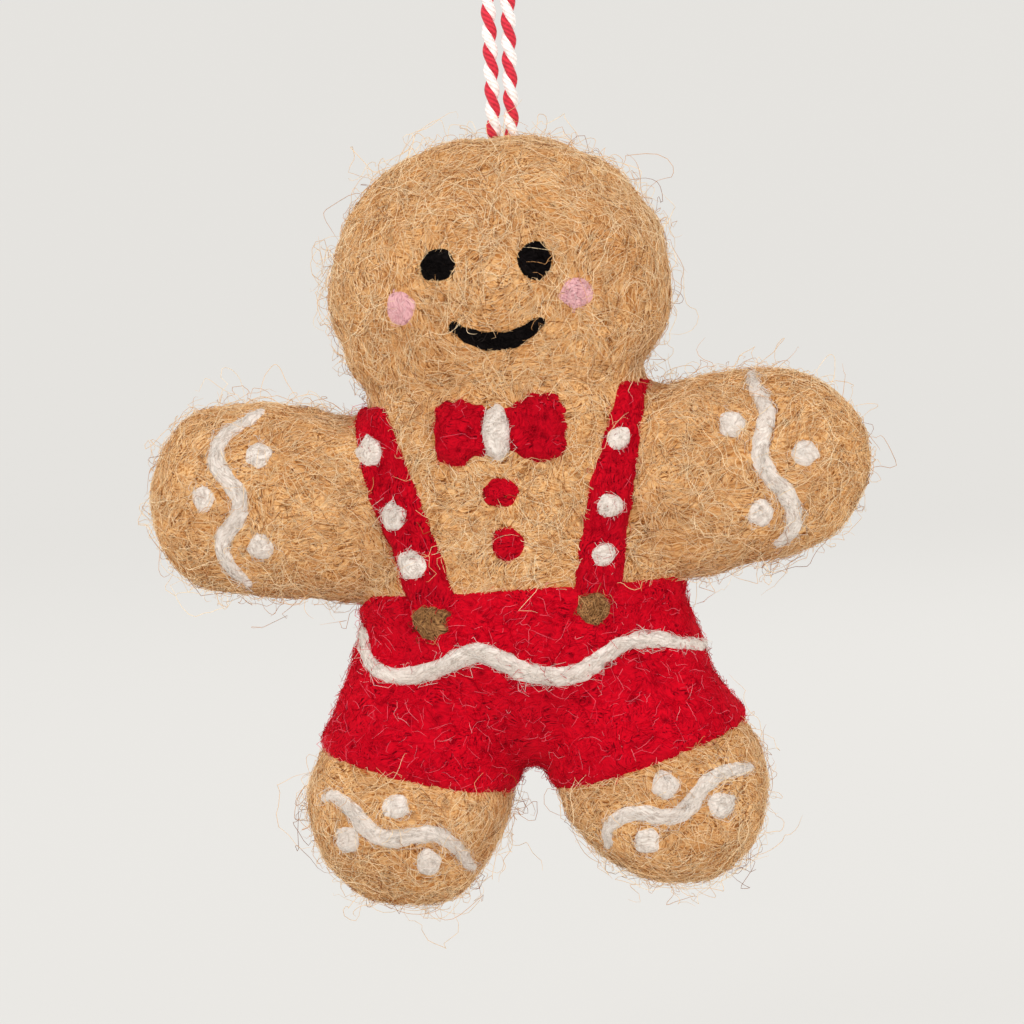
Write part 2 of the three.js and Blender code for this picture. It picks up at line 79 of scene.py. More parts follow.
def on_figure(points):
    """Points of the scene in metres, as places across and up on the figure in millimetres."""
    across, height = points[:, 0] / MM - CROWN[0], points[:, 2] / MM - CROWN[1]
    return across * COS + height * SIN, -across * SIN + height * COS


print("lean", round(math.degrees(LEAN), 2), "degrees, crown at", in_scene(0, 0))

# %% [markdown]
# ## Camera and studio
# The camera looks at the front from a little to the right and a little above, from about arm's length.
# A long lens keeps the figure's proportions. The lamps are large and close to white, so that the wool
# shows its own colours, and the main one stands to one side so that every fibre has a shadow.

# %% Camera
VIEW_CENTRE = Vector((-0.7, 0, -120.4)) * MM
VIEW_DISTANCE = 650 * MM
VIEW_WIDTH = 146.3 * MM
VIEW_TURN, VIEW_RISE, VIEW_ROLL = (math.radians(a) for a in (7, 3, 2.15))
SENSOR = 36  # millimetres

scene = bpy.context.scene
scene.view_settings.view_transform = "Standard"


def new_object(name, data):
    """A new object of the scene."""
    thing = bpy.data.objects.new(name, data)
    scene.collection.objects.link(thing)
    return thing


def aim(thing, place, target, roll=0.0):
    """Puts a camera or lamp at a place and points it at a target."""
    forward = (target - place).normalized()
    right = forward.cross(Vector((0, 0, 1))).normalized()
    up = right.cross(forward)
    turned_up = up * math.cos(roll) + right * math.sin(roll)
    turned_right = right * math.cos(roll) - up * math.sin(roll)
    axes = Matrix((turned_right, turned_up, -forward)).transposed()
    thing.matrix_world = Matrix.Translation(place) @ axes.to_4x4()


camera = new_object("camera", bpy.data.cameras.new("camera"))
camera.data.sensor_width = SENSOR
camera.data.lens = SENSOR * VIEW_DISTANCE / VIEW_WIDTH
camera.data.clip_start = 0.01
scene.camera = camera
towards_camera = Vector((math.sin(VIEW_TURN), -math.cos(VIEW_TURN), 0)) * math.cos(VIEW_RISE)
towards_camera.z = math.sin(VIEW_RISE)
aim(camera, VIEW_CENTRE + towards_camera * VIEW_DISTANCE, VIEW_CENTRE, VIEW_ROLL)
print("lens", round(camera.data.lens, 1), "mm")

# %% [markdown]
# Every material here, and the tree that lays the fibres, is a set of nodes built in code. One helper adds a
# node with its settings and its links. Colours are written as the hex codes that a colour picker shows,
# and nodes want linear light, so one function converts them.

# %% Adding nodes, new materials and colours
MATH, VECTORS, MIX = "ShaderNodeMath", "ShaderNodeVectorMath", "ShaderNodeMix"
RANGE, NOISE, ATTRIBUTE = "ShaderNodeMapRange", "ShaderNodeTexNoise", "ShaderNodeAttribute"


def add(tree, kind, *inputs, **settings):
    """Adds a node. Inputs go by the order of the sockets in use, or by name in one dictionary.

    Each is a value, a socket, a list of them, or a node, which stands for its first output in use.
    """
    new = tree.nodes.new(kind)
    for name, value in settings.items():
        setattr(new, name, value)
    in_use = [socket for socket in new.inputs if socket.enabled]
    if inputs and isinstance(inputs[0], dict):
        names = [socket.name for socket in in_use]
        pairs = [(in_use[names.index(name)], value) for name, value in inputs[0].items()]
    else:
        pairs = zip(in_use, inputs)
    for socket, given in pairs:
        for value in given if isinstance(given, list) else [given]:
            if isinstance(value, bpy.types.Node):
                value = next(output for output in value.outputs if output.enabled)
            if isinstance(value, bpy.types.NodeSocket):
                tree.links.new(value, socket)
            else:
                socket.default_value = value
    return new


def new_material(name):
    """A material and its empty node tree."""
    material = bpy.data.materials.new(name)
    material.use_nodes = True
    material.node_tree.nodes.clear()
    return material, material.node_tree


def colour(code):
    """An sRGB hex colour as linear red, green, blue and alpha."""
    parts = [int(code[i : i + 2], 16) / 255 for i in (1, 3, 5)]
    return tuple(p / 12.92 if p <= 0.04045 else ((p + 0.055) / 1.055) ** 2.4 for p in parts) + (1.0,)


PAPER = "#E9E7E3"
print("the paper's colour is", [round(c, 3) for c in colour(PAPER)])

# %% Floor and backdrop
FLOOR_HEIGHT = -205 * MM
NEAR, BACK, BEND, HALF_WIDTH, TOP = -2.2, 2.2, 0.6, 2.6, 2.4  # of the sheet of paper, in metres
BEND_STEPS = 12
PAPER_GLOW = 0.92  # share of its plain colour in what the camera sees, so that it stays pale

paper, tree = new_material("matt studio paper")  # uncoated, so it has no shine and looks even
seen = add(tree, "ShaderNodeLightPath").outputs["Is Camera Ray"]
share = add(tree, MATH, seen, PAPER_GLOW, operation="MULTIPLY")
lit = add(tree, "ShaderNodeBsdfDiffuse", colour(PAPER))
plain = add(tree, "ShaderNodeEmission", colour(PAPER), 1.0)
add(tree, "ShaderNodeOutputMaterial", add(tree, "ShaderNodeMixShader", share, lit, plain))

profile = [(NEAR, FLOOR_HEIGHT), (BACK - BEND, FLOOR_HEIGHT)]
for step in range(1, BEND_STEPS + 1):
    turn = math.radians(90 * step / BEND_STEPS)
    profile.append((BACK - BEND + BEND * math.sin(turn), FLOOR_HEIGHT + BEND * (1 - math.cos(turn))))
profile.append((BACK, TOP))
corners = [(side * HALF_WIDTH, y, z) for y, z in profile for side in (-1, 1)]
strips = [(2 * i, 2 * i + 1, 2 * i + 3, 2 * i + 2) for i in range(len(profile) - 1)]
sweep = bpy.data.meshes.new("sweep")
sweep.from_pydata(corners, [], strips)
sweep.shade_smooth()
sweep.materials.append(paper)
new_object("sweep", sweep)
print("paper sweep of", len(strips), "strips")

# %% Lamps and world
LAMPS = {  # place and size in metres, power in watts
    "main_lamp": ((-0.55, -0.78, 0.42), 0.45, 7.1),
    "fill_lamp": ((0.75, -0.75, 0.12), 0.6, 6.7),
    "back_lamp": ((0.3, 0.8, 0.5), 0.6, 5.7),
    "edge_lamp": ((-0.9, 0.25, 0.1), 0.4, 2.2),
}
SKY, SKY_SEEN = 0.43, 0.34  # the world's light on the object, and what the camera sees on top of it

for name, (place, size, power) in LAMPS.items():
    light = bpy.data.lights.new(name, "AREA")
    light.size, light.energy = size, power
    lamp = new_object(name, light)
    lamp.visible_camera = False
    aim(lamp, Vector(place), VIEW_CENTRE)
scene.world = bpy.data.worlds.new("studio")
scene.world.use_nodes = True
tree = scene.world.node_tree
tree.nodes.clear()
seen = add(tree, "ShaderNodeLightPath").outputs["Is Camera Ray"]
strength = add(tree, MATH, seen, SKY_SEEN, SKY, operation="MULTIPLY_ADD")
add(tree, "ShaderNodeOutputWorld", add(tree, "ShaderNodeBackground", colour("#FFFFFF"), strength))
print(len(LAMPS), "lamps of", round(sum(power for *_, power in LAMPS.values()), 1), "W in all")

# %% [markdown]
# ## Twine
# The loop is baker's twine: one red and one white cotton ply, each about a millimetre and a half thick
# and pressed into the other, twisted once every five and a half millimetres. The soft plies press flat on
# each other, so the twine is nearly round. A striped texture on a plain tube would have no grooves, so
# each ply is its own tube that winds round the route.

# %% Route of the loop
TWINE = 2.0 * MM
PLY_LAY = 5.5 * MM
SUNK = 3.4  # millimetres of each end that are down in the wool
FINE_STEPS = 24  # between one given point of a line and the next
ROUTE = [
    (-1.3, -65), (-1.3, -62.8), (-1.31, -60), (-1.36, -54), (-1.45, -47), (-1.7, -39), (-2.1, -31),
    (-2.6, -23), (-3.2, -15.5), (-3.8, -9), (-4.15, -5), (-4.1, -2.3), (-3.25, -0.1), (-1.7, 0.95),
    (0, 1.25), (1.7, 0.95), (3.25, -0.1), (4.1, -2.3), (4.15, -5), (3.8, -9), (3.2, -15.5),
    (2.6, -23), (2.1, -31), (1.7, -39), (1.45, -47), (1.36, -54), (1.31, -60), (1.3, -62.8), (1.3, -65),
]  # fmt: skip


def run_along(line):
    """How far along a line each of its points is."""
    return np.concatenate([[0], np.cumsum(np.linalg.norm(np.diff(line, axis=0), axis=1))])


def between(a, b, low, high, at):
    """Where a straight line that passes a at the time low, and b at the time high, is at a time."""
    return (high - at) / (high - low) * a + (at - low) / (high - low) * b


def smooth_line(points, spacing):
    """A centripetal Catmull-Rom line through the points, as evenly spaced points."""
    given = np.array(points, float)
    full = np.concatenate([[2 * given[0] - given[1]], given, [2 * given[-1] - given[-2]]])
    fine = []
    for p in zip(full, full[1:], full[2:], full[3:]):
        t = np.cumsum([0.0] + [np.linalg.norm(b - a) ** 0.5 for a, b in zip(p, p[1:])])
        for at in np.linspace(t[1], t[2], FINE_STEPS, endpoint=False):
            a = [between(p[i], p[i + 1], t[i], t[i + 1], at) for i in range(3)]
            b = [between(a[i], a[i + 1], t[i], t[i + 2], at) for i in range(2)]
            fine.append(between(b[0], b[1], t[1], t[2], at))
    fine = np.array(fine + [given[-1]])
    run = run_along(fine)
    even = np.linspace(0, run[-1], max(2, round(run[-1] / spacing) + 1))
    return np.stack([np.interp(even, run, column) for column in fine.T], axis=1)


(first_x, first_z), (last_x, last_z) = ROUTE[0], ROUTE[-1]
full_route = [(first_x, first_z - SUNK), *ROUTE, (last_x, last_z - SUNK)]
loop_line = smooth_line(np.array([(x, 0, z) for x, z in full_route]) * MM, 0.25 * MM)

# %% Two plies round a line
PLY_RADIUS, PLY_OFF_MIDDLE = 0.74 * TWINE / 2, 0.36 * TWINE / 2


def plies(name, line, sides=10):
    """A mesh of two round plies that wind round a line, with closed ends and a UV map along each ply."""
    ahead = np.gradient(line, axis=0)
    ahead /= np.linalg.norm(ahead, axis=1)[:, None]
    through = np.tile([0.0, 1.0, 0.0], (len(line), 1))
    across = np.cross(through, ahead)
    turns = run_along(line) / PLY_LAY
    last = len(line) - 1
    points, faces, slots, uvs = [], [], [], []
    for ply in (0, 1):
        turn = (ply * np.pi - 2 * np.pi * turns)[:, None]
        out = across * np.cos(turn) + through * np.sin(turn)
        side = across * -np.sin(turn) + through * np.cos(turn)
        first = len(points)
        for middle, o, s in zip(line + out * PLY_OFF_MIDDLE, out, side):
            for angle in 2 * np.pi * np.arange(sides) / sides:
                points.append(tuple(middle + (o * np.cos(angle) + s * np.sin(angle)) * PLY_RADIUS))
        for i, (low, high) in enumerate(zip(turns, turns[1:])):
            for k in range(sides):
                a, b = first + i * sides + k, first + i * sides + (k + 1) % sides
                faces.append((a, b, b + sides, a + sides))
                uvs += [(k / sides, low), ((k + 1) / sides, low), ((k + 1) / sides, high), (k / sides, high)]
        for end, order in ((0, -1), (last, 1)):
            faces.append([first + end * sides + k for k in range(sides)][::order])
            uvs += [(0.5, turns[end])] * sides
        slots += [ply] * (last * sides + 2)
    mesh = bpy.data.meshes.new(name)
    mesh.from_pydata(points, [], faces)
    mesh.polygons.foreach_set("material_index", slots)
    mesh.uv_layers.new(name="along").data.foreach_set("uv", np.array(uvs, float).ravel())
    mesh.shade_smooth()
    return mesh


def triangles(piece):
    """How many triangles a piece has."""
    return sum(len(p.vertices) - 2 for p in piece.data.polygons)


twine_loop = new_object("twine", plies("twine", loop_line))
print("twine triangles", triangles(twine_loop))

# %% [markdown]
# Cotton twine is dull. Each ply is spun from fine yarn, which shows as slanting ridges along it, so the
# colour and the bump follow the ply's own UV map. The low places between the ridges are painted darker, as
# shade. Nothing is finer than the render can show.

# %% Cotton
STRANDS = (4.0, 3.0, 1.0)  # strands round a ply, and along it in one turn of the twine
FLUFF = 1800.0  # per metre, so soft patches of about half a millimetre


def spun_cotton(name, light, dark):
    """Spun cotton, a matt ply with slanting strands, painted darker as shade where it is low between them.
    """
    material, tree = new_material(name)
    along = add(tree, "ShaderNodeUVMap", uv_map="along")
    slant = add(tree, "ShaderNodeMapping", {"Vector": along, "Scale": STRANDS})
    parts = add(tree, "ShaderNodeSeparateXYZ", slant).outputs
    both = add(tree, MATH, parts["X"], parts["Y"], operation="ADD")
    turns = add(tree, MATH, both, 2 * math.pi, operation="MULTIPLY")
    strand = add(tree, MATH, turns, operation="SINE")
    place = add(tree, "ShaderNodeTexCoord").outputs["Object"]
    fluff = add(tree, NOISE, place, FLUFF, 3.0)
    relief = add(tree, MATH, strand, 0.25, fluff, operation="MULTIPLY_ADD")
    # painted shade: the colour darkens where the relief is low, between the strands
    shade = add(tree, RANGE, relief, 0.2, 0.75, 0.0, 1.0)
    groove_shaded_colour = add(tree, MIX, shade, colour(dark), colour(light), data_type="RGBA")
    bump = add(tree, "ShaderNodeBump", {"Strength": 0.5, "Distance": 0.1 * MM, "Height": relief})
    looks = {"Base Color": groove_shaded_colour, "Roughness": 0.9, "Sheen Weight": 0.2, "Normal": bump}
    add(tree, "ShaderNodeOutputMaterial", add(tree, "ShaderNodeBsdfPrincipled", looks))
    return material


# each ply's second colour is painted shade, for the low places between its strands
COTTON = [
    spun_cotton("red spun cotton", "#D8253A", "#A50F24"),
    spun_cotton("white spun cotton", "#F7F1EC", "#DCCFC8"),
]
for ply_finish in COTTON:
    twine_loop.data.materials.append(ply_finish)
print("plies of", [finish.name for finish in COTTON])

# %% [markdown]
# ## The wool body
# On the bench each limb is rolled and felted separately, then needled on with loose wool until no joint
# shows. The frame's solids have those lumps with a hair of room between them. Here copies of them swell
# a little, so that they touch, and a voxel remesh makes one skin of them. Smoothing that skin rounds
# every crease the way needling does. Later it is cut into the six pieces again.

# %% Copies of the solids, swollen a little
SWELL = 0.25 * MM
PRESSED, PRESSED_FROM, PRESSED_OVER = 1.0 * MM, -88 * MM, 20 * MM
BODY = ["head", "torso", "arm_left", "arm_right", "leg_left", "leg_right"]


def as_mesh(name, shape):
    """A bmesh as a mesh. The bmesh goes."""
    mesh = bpy.data.meshes.new(name)
    shape.to_mesh(mesh)
    shape.free()
    return mesh


def joined(name, meshes):
    """Meshes as one new object. The meshes go."""
    whole = bmesh.new()
    for mesh in meshes:
        whole.from_mesh(mesh)
        bpy.data.meshes.remove(mesh)
    return new_object(name, as_mesh(name, whole))


def swollen(node):
    """A copy of a frame solid as one closed surface, swollen a little."""
    shape = bmesh.new()
    shape.from_mesh(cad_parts[node].data)
    bmesh.ops.remove_doubles(shape, verts=shape.verts, dist=0.002 * MM)
    shape.normal_update()
    if node == "head":  # its pocket for the twine is filled with wool
        hull = bmesh.ops.convex_hull(shape, input=shape.verts)
        inside = [v for v in hull["geom_interior"] if isinstance(v, bmesh.types.BMVert)]
        bmesh.ops.delete(shape, geom=inside, context="VERTS")
        shape.normal_update()
    for vert in shape.verts:
        vert.co += vert.normal * SWELL
        if node == "head":  # pressed down a little where the twine pulls on it
            vert.co.z -= PRESSED * np.clip((vert.co.z - PRESSED_FROM) / PRESSED_OVER, 0, 1)
    return as_mesh("lump", shape)


skin = joined("skin", [swollen(node) for node in BODY])
print("swollen copies:", len(skin.data.vertices), "vertices")

# %% One skin
COARSE = 1.0 * MM
RELAX_STEPS = 14


def baked(thing, name):
    """The object with its modifiers worked in, as a plain mesh object. The old one goes."""
    bpy.context.view_layer.update()
    seen = thing.evaluated_get(bpy.context.evaluated_depsgraph_get())
    mesh = bpy.data.meshes.new_from_object(seen)
    old = thing.data
    bpy.data.objects.remove(thing)
    bpy.data.meshes.remove(old)
    mesh.name = name
    return new_object(name, mesh)


remesh = skin.modifiers.new("remesh", "REMESH")
remesh.mode, remesh.voxel_size = "VOXEL", COARSE
relax = skin.modifiers.new("relax", "SMOOTH")
relax.factor, relax.iterations = 0.5, RELAX_STEPS
skin = baked(skin, "skin")
fine = skin.modifiers.new("fine", "SUBSURF")
fine.levels = fine.render_levels = 1
skin = baked(skin, "skin")
print("skin", len(skin.data.polygons), "faces")

# %% [markdown]
# Fingers press wool flat in some places and leave it full in others. Each press here moves the skin in
# towards the middle from both sides, most at its centre and nothing at its rim.

# %% Presses
PRESSES = (  # across, up, how wide and how deep, in millimetres
    (9.5, -103.0, 11.0, 2.0), (17.5, -110.5, 11.0, 1.3), (-7.5, -101.5, 9.0, 1.1), (-26.0, -36.0, 10.0, 1.1),
    (-22.0, -37.5, 7.0, 2.0), (-20.5, -34.0, 6.0, -1.0), (21.5, -34.0, 8.0, 1.2), (0.1, -91.0, 4.5, 1.0),
)  # fmt: skip


def rows(items, what, width=3, kind=float):
    """One value of every item of a mesh, as an array with a row for each."""
    out = np.zeros(len(items) * width, kind)
    items.foreach_get(what, out)
    return out.reshape(-1, width)


places = rows(skin.data.vertices, "co")
facing = rows(skin.data.vertex_normals, "vector") * (1, 0, 1)
x, up = on_figure(places)
for middle_x, middle_up, width, depth in PRESSES:
    near = np.clip(1 - np.hypot(x - middle_x, up - middle_up) / width, 0, 1)
    places -= facing * (near * near * (3 - 2 * near) * depth * MM)[:, None]
skin.data.vertices.foreach_set("co", places.ravel())
print("box in mm", (places.min(0) / MM).round(1), (places.max(0) / MM).round(1))

# %% [markdown]
# ## Where the clothes lie
# The clothes, the face and the icing are all flat shapes of loose wool, laid on the front and needled
# down. So one idea serves for all of them: a field that says how far inside its outline a place on the
# figure is, in millimetres, as seen from the front. Negative is outside.

# %% Fields of the shorts and the straps
WAIST = -64.6
HEM_MIDDLE, HEM_SLOPE, HEM_BEND = -94.2, 0.136, 0.00457  # the hems rise outwards, more and more
HEM_LEAN = 0.95  # a sloping hem is nearer than it is straight down
WAIST_HALF = {"left": 20.9, "right": 22.3}  # the arms hide the waistband beyond this
FLARE = 1.6  # how much wider the shorts may be for each millimetre down
STRAP_MORE = 0.1  # the wool spreads this far past the drawn edge
STRAPS = {  # top, middle and waist: across, up, width
    "left": ((-19.2, -38.0, 4.7), (-16.0, -50.4, 6.7), (-10.7, -67.8, 6.5)),
    "right": ((18.6, -36.8, 3.2), (15.0, -50.4, 5.5), (11.4, -67.8, 6.3)),
}


def inside_shorts(x, up):
    """Below the waist, clear of the arms and above both hems, which rise outwards."""
    hem = up - HEM_MIDDLE - HEM_SLOPE * np.abs(x) - HEM_BEND * x**2
    half = np.where(x < 0, WAIST_HALF["left"], WAIST_HALF["right"])
    side = half + FLARE * (WAIST - up) - np.abs(x)
    return np.minimum(np.minimum(WAIST - up, side), hem * HEM_LEAN)


def inside_strap(side, x, up):
    """Inside a strap that runs in a slight curve from its top to the waist."""
    across, heights, widths = zip(*STRAPS[side][::-1])
    middle = np.interp(up, heights, across)
    half = np.interp(up, heights, widths) / 2
    ends = np.minimum(heights[-1] - up, up - heights[0])
    return np.minimum(half - np.abs(x - middle), ends) + STRAP_MORE


x, up = on_figure(places)
print("under the shorts", int((inside_shorts(x, up) > 0).sum()), "vertices")

# %% Fields of outlines, ovals and bands
LINE_STEP = 0.8  # millimetres between the points of a line


def off_segment(start, end, x, up):
    """How far places are from the straight line between two points."""
    (ax, az), (ex, ez) = start, np.subtract(end, start)
    t = np.clip(((x - ax) * ex + (up - az) * ez) / (ex * ex + ez * ez), 0, 1)
    return np.hypot(x - ax - t * ex, up - az - t * ez)


def inside_polygon(outline, x, up):
    """Distance to the edge of an outline, positive inside it."""
    nearest = np.full(len(x), 1e9)
    within = np.zeros(len(x), bool)
    for (ax, az), (bx, bz) in zip(outline, outline[1:] + outline[:1]):
        nearest = np.minimum(nearest, off_segment((ax, az), (bx, bz), x, up))
        crosses = (az > up) != (bz > up)
        within ^= crosses & (x < (bx - ax) * (up - az) / (bz - az or 1e-9) + ax)
    return np.where(within, nearest, -nearest)


def inside_oval(middle, width, height, x, up):
    """About the distance to the edge of an oval, positive inside it."""
    reach = np.hypot((x - middle[0]) * 2 / width, (up - middle[1]) * 2 / height)
    return (1 - reach) * min(width, height) / 2


def inside_band(line, width, end_share, x, up):
    """Inside a band along a line, which narrows to a share of its width at both ends."""
    points = smooth_line(line, LINE_STEP)
    inside = np.full(len(x), -1e9)
    for i, (start, end) in enumerate(zip(points, points[1:])):
        off_middle = abs(2 * (i + 0.5) / (len(points) - 1) - 1)
        half = width / 2 * (1 - (1 - end_share) * off_middle**3)
        inside = np.maximum(inside, half - off_segment(start, end, x, up))
    return inside


there = np.array([0.0, 3.0])
print("in an oval 4 mm wide, at its middle and 3 mm off:", inside_oval((0, 0), 4, 6, there, 0 * there))

# %% [markdown]
# ## Needled surface
# A felted surface is never smooth. Wide shallow lumps come from the rolled wool, and each stab of the
# needle leaves a small pit. Both are moved into the mesh, because they show on the outline and in the
# way light falls. They are placed by noise in the scene's own space, so they run on over every joint.

# %% Lumps and pits
LUMP_SIZE, LUMP_HEIGHT = 7.0, 0.3  # millimetres
NUB_SIZE, NUB_HEIGHT = 1.5, 0.06
PIT_SPACING, PIT_WIDTH, PIT_DEPTH = 2.6, 0.7, 0.32


def needled(places):
    """For places in millimetres, how far the surface stands out there, and how deep in a pit each is."""
    step, pits = np.zeros(len(places)), np.zeros(len(places))
    for i, place in enumerate(places):
        point = Vector(place)
        near = noise.voronoi(point / PIT_SPACING)[0][0] * PIT_SPACING
        pits[i] = max(0.0, 1 - (near / PIT_WIDTH) ** 2) ** 2
        step[i] = noise.noise(point / LUMP_SIZE) * LUMP_HEIGHT * 2
        step[i] += noise.noise(point / NUB_SIZE) * NUB_HEIGHT
    return step, pits


def mark(mesh, name, values):
    """Keeps a number or a direction for each vertex on the mesh."""
    values = np.asarray(values, np.float32)
    kind, what = ("FLOAT", "value") if values.ndim == 1 else ("FLOAT_VECTOR", "vector")
    mesh.attributes.new(name, kind, "POINT").data.foreach_set(what, values.ravel())


smooth_places = rows(skin.data.vertices, "co")
smooth_normals = rows(skin.data.vertex_normals, "vector")
quads = rows(skin.data.polygons, "vertices", 4, int)
skin_x, skin_up = on_figure(smooth_places)
step, pits = needled(smooth_places / MM)
needled_places = smooth_places + smooth_normals * ((step - pits * PIT_DEPTH) * MM)[:, None]
skin.data.vertices.foreach_set("co", needled_places.ravel())
# each place's share of a needle pit, where the wool's colour is painted dark as shade
mark(skin.data, "pit_shade", pits)
print("needled", len(pits), "vertices,", int((pits > 0.5).sum()), "of them deep in a pit")

# %% [markdown]
# ## Felted wool as a material
# Wool felt is as matt as a surface can be, with a faint pale sheen where its fibres stand up against the
# light. Its colour is never one colour: thin curly fibres in lighter and darker shades cross each other,
# and every needle pit and every tangled gap between streaks is painted dark, as shade. Noise that is
# stretched one way makes streaks like combed fibres. Five such combs are turned five ways, and each shows
# where the wool lies its way, so the streaks follow the grain.
# Real fibres are a few hundredths of a millimetre thick, so they are drawn coarser here, or they would
# not show.

# %% Streaks that follow the grain
LONG_STREAK, SHORT_STREAK, STREAK_WIDTH = 2.9 * MM, 1.7 * MM, 0.23 * MM
SWAY = 2.5 * MM
COMBS = [(0, math.radians(turn), 0) for turn in (0, 45, 90, 135)] + [(0, 0, math.radians(90))]
COMB_FROM, COMB_FULL = 0.8, 0.92  # how well the grain must lie a comb's way for it to show


def streaks_of(tree, place, bend, length):
    """Noise in streaks, from the comb that lies most nearly along the grain."""
    sway = add(tree, VECTORS, bend.outputs["Color"], SWAY, operation="SCALE")
    bent = add(tree, VECTORS, place, sway, operation="ADD")
    grain = add(tree, ATTRIBUTE, attribute_name="grain").outputs["Vector"]
    streaks = None
    for angles in COMBS:
        sizes = {"Vector": bent, "Rotation": angles, "Scale": (length, STREAK_WIDTH, STREAK_WIDTH)}
        comb = add(tree, "ShaderNodeMapping", sizes, vector_type="TEXTURE")
        strands = add(tree, NOISE, comb, 1.0, 1.0)
        way = Euler(angles).to_matrix() @ Vector((1, 0, 0))
        along = add(tree, VECTORS, grain, way, operation="DOT_PRODUCT")
        size = add(tree, MATH, along, operation="ABSOLUTE")
        shown = add(tree, RANGE, size, COMB_FROM, COMB_FULL, 0.0, 1.0)
        if streaks is None:
            streaks = strands
        else:
            streaks = add(tree, MIX, shown, streaks, strands, data_type="FLOAT")
    return streaks


print("combs turned", [[round(math.degrees(a)) for a in angles] for angles in COMBS])

# %% Wool
TANGLES, PATCHES = 320.0, 110.0  # per metre: tangles of fibre every 3 mm, and paler patches every 9 mm


def wool(name, light, middle, dark, pit_shade, streak=SHORT_STREAK):
    """Needled wool in three shades of fibre, in streaks that follow the grain of the piece, and a fourth
    colour of painted shade for its pits and gaps.
    """
    material, tree = new_material(name)
    place = add(tree, "ShaderNodeTexCoord").outputs["Object"]
    tangles, patches = (add(tree, NOISE, place, scale, 1.0) for scale in (TANGLES, PATCHES))
    streaks = streaks_of(tree, place, tangles, streak)
    shade = colour(dark)
    for value, low, high, most, shown in (  # where each shade begins and is full, and its most
        (streaks, 0.38, 0.5, 1.0, middle),
        (streaks, 0.5, 0.64, 0.9, light),
        (patches, 0.42, 0.62, 0.35, dark),
    ):
        share = add(tree, RANGE, value, low, high, 0.0, most)
        shade = add(tree, MIX, share, shade, colour(shown), data_type="RGBA")
    # Painted shade: between the streaks, where the fibres are tangled, and in the needle's pits, the colour
    # is darkened towards the pit colour
    low = add(tree, RANGE, streaks, 0.43, 0.37, 0.0, 1.0)
    crowded_shade = add(tree, RANGE, tangles, 0.46, 0.56, 0.0, 1.0)
    gap_shade = add(tree, MATH, low, crowded_shade, operation="MULTIPLY")
    stab_shade = add(tree, ATTRIBUTE, attribute_name="pit_shade").outputs["Fac"]
    deepest_shade = add(tree, MATH, gap_shade, stab_shade, operation="MAXIMUM")
    depth = add(tree, MATH, deepest_shade, 0.85, operation="MULTIPLY")
    looks = {
        "Base Color": add(tree, MIX, depth, shade, colour(pit_shade), data_type="RGBA"),
        "Roughness": 0.95,
        "Specular IOR Level": 0.02,
        "Sheen Weight": 0.015,
        "Sheen Roughness": 0.6,
        "Normal": add(tree, "ShaderNodeBump", {"Strength": 0.6, "Distance": 0.08 * MM, "Height": streaks}),
    }
    add(tree, "ShaderNodeOutputMaterial", add(tree, "ShaderNodeBsdfPrincipled", looks))
    return material


# the last of each four colours is painted shade, for the needle pits and the gaps between streaks
FELT = {
    "tan": wool("needled tan wool", "#E0B783", "#CB975F", "#A56B37", "#683A1B", LONG_STREAK),
    "red": wool("needled red wool", "#C9071E", "#BB051B", "#A60418", "#5C000B"),
    "deep_red": wool("needled deep red wool", "#C1081D", "#B0061A", "#970315", "#50000A"),
    "white": wool("needled white wool", "#E2DAD1", "#D9CEC4", "#CEC0B5", "#B4A397", LONG_STREAK),
    "black": wool("needled black wool", "#141010", "#0C0909", "#060404", "#030202"),
    "pink": wool("needled pink wool", "#E0B3B3", "#D6A5A6", "#C18C8F", "#9C6C70"),
    "olive": wool("needled olive wool", "#B08351", "#8A603D", "#5D3E26", "#322010"),
}
print(len(FELT), "felts")

# %% Shades of loose fibre
SHADES = {
    "tan": [("straw", "#E6BF8E"), ("pale straw", "#F3D8B0"), ("caramel", "#CB9561"), ("brown", "#915931")],
    "red": [("red", "#CB051E"), ("bright red", "#D7122B"), ("deep red", "#9C0216"), ("coral", "#E4586A")],
    "deep_red": [("wine", "#B2071B"), ("ruby", "#C21025"), ("dark wine", "#900213"), ("rosy", "#D65667")],
    "blush": [("blush", "#DC2E46"), ("pale blush", "#E87684"), ("crimson", "#C40C28"), ("shell", "#F0A8AA")],
    "white": [("white", "#E7E0D8"), ("milk", "#DFD6CC"), ("cream", "#D6CBBF"), ("shade", "#CABCB0")],
    "black": [("black", "#0E0B0B"), ("soft black", "#181413"), ("jet", "#070505"), ("grey", "#342E2B")],
    "pink": [("pink", "#DFB1B2"), ("pale pink", "#EAC7C7"), ("rose", "#D09CA0"), ("deep rose", "#B67F84")],
    "olive": [("olive", "#9D7144"), ("moss", "#704B2D"), ("pale olive", "#C79D6C"), ("bark", "#422C1A")],
}
FIBRES = {family: [] for family in SHADES}
for family, shades in SHADES.items():
    for shade, code in shades:  # a wool fibre alone is a plain matt thread
        material, tree = new_material(f"{shade} wool fibre")
        looks = {"Base Color": colour(code), "Roughness": 0.85, "Specular IOR Level": 0.02}
        add(tree, "ShaderNodeOutputMaterial", add(tree, "ShaderNodeBsdfPrincipled", looks))
        FIBRES[family].append(material)
print(sum(map(len, FIBRES.values())), "shades of fibre")

# %% [markdown]
# ## Loose fibres
# What makes felt look like wool is its fibres, so they are geometry here. A Geometry Nodes tree scatters
# points on a felt piece, puts a short line on each, bends the lines with noise, and lays them back on the
# surface they came from, with their ends dipping in. Each gets a thin three-sided tube and one of four
# shades. Hair curves would render well too, but a mesh also survives an export.

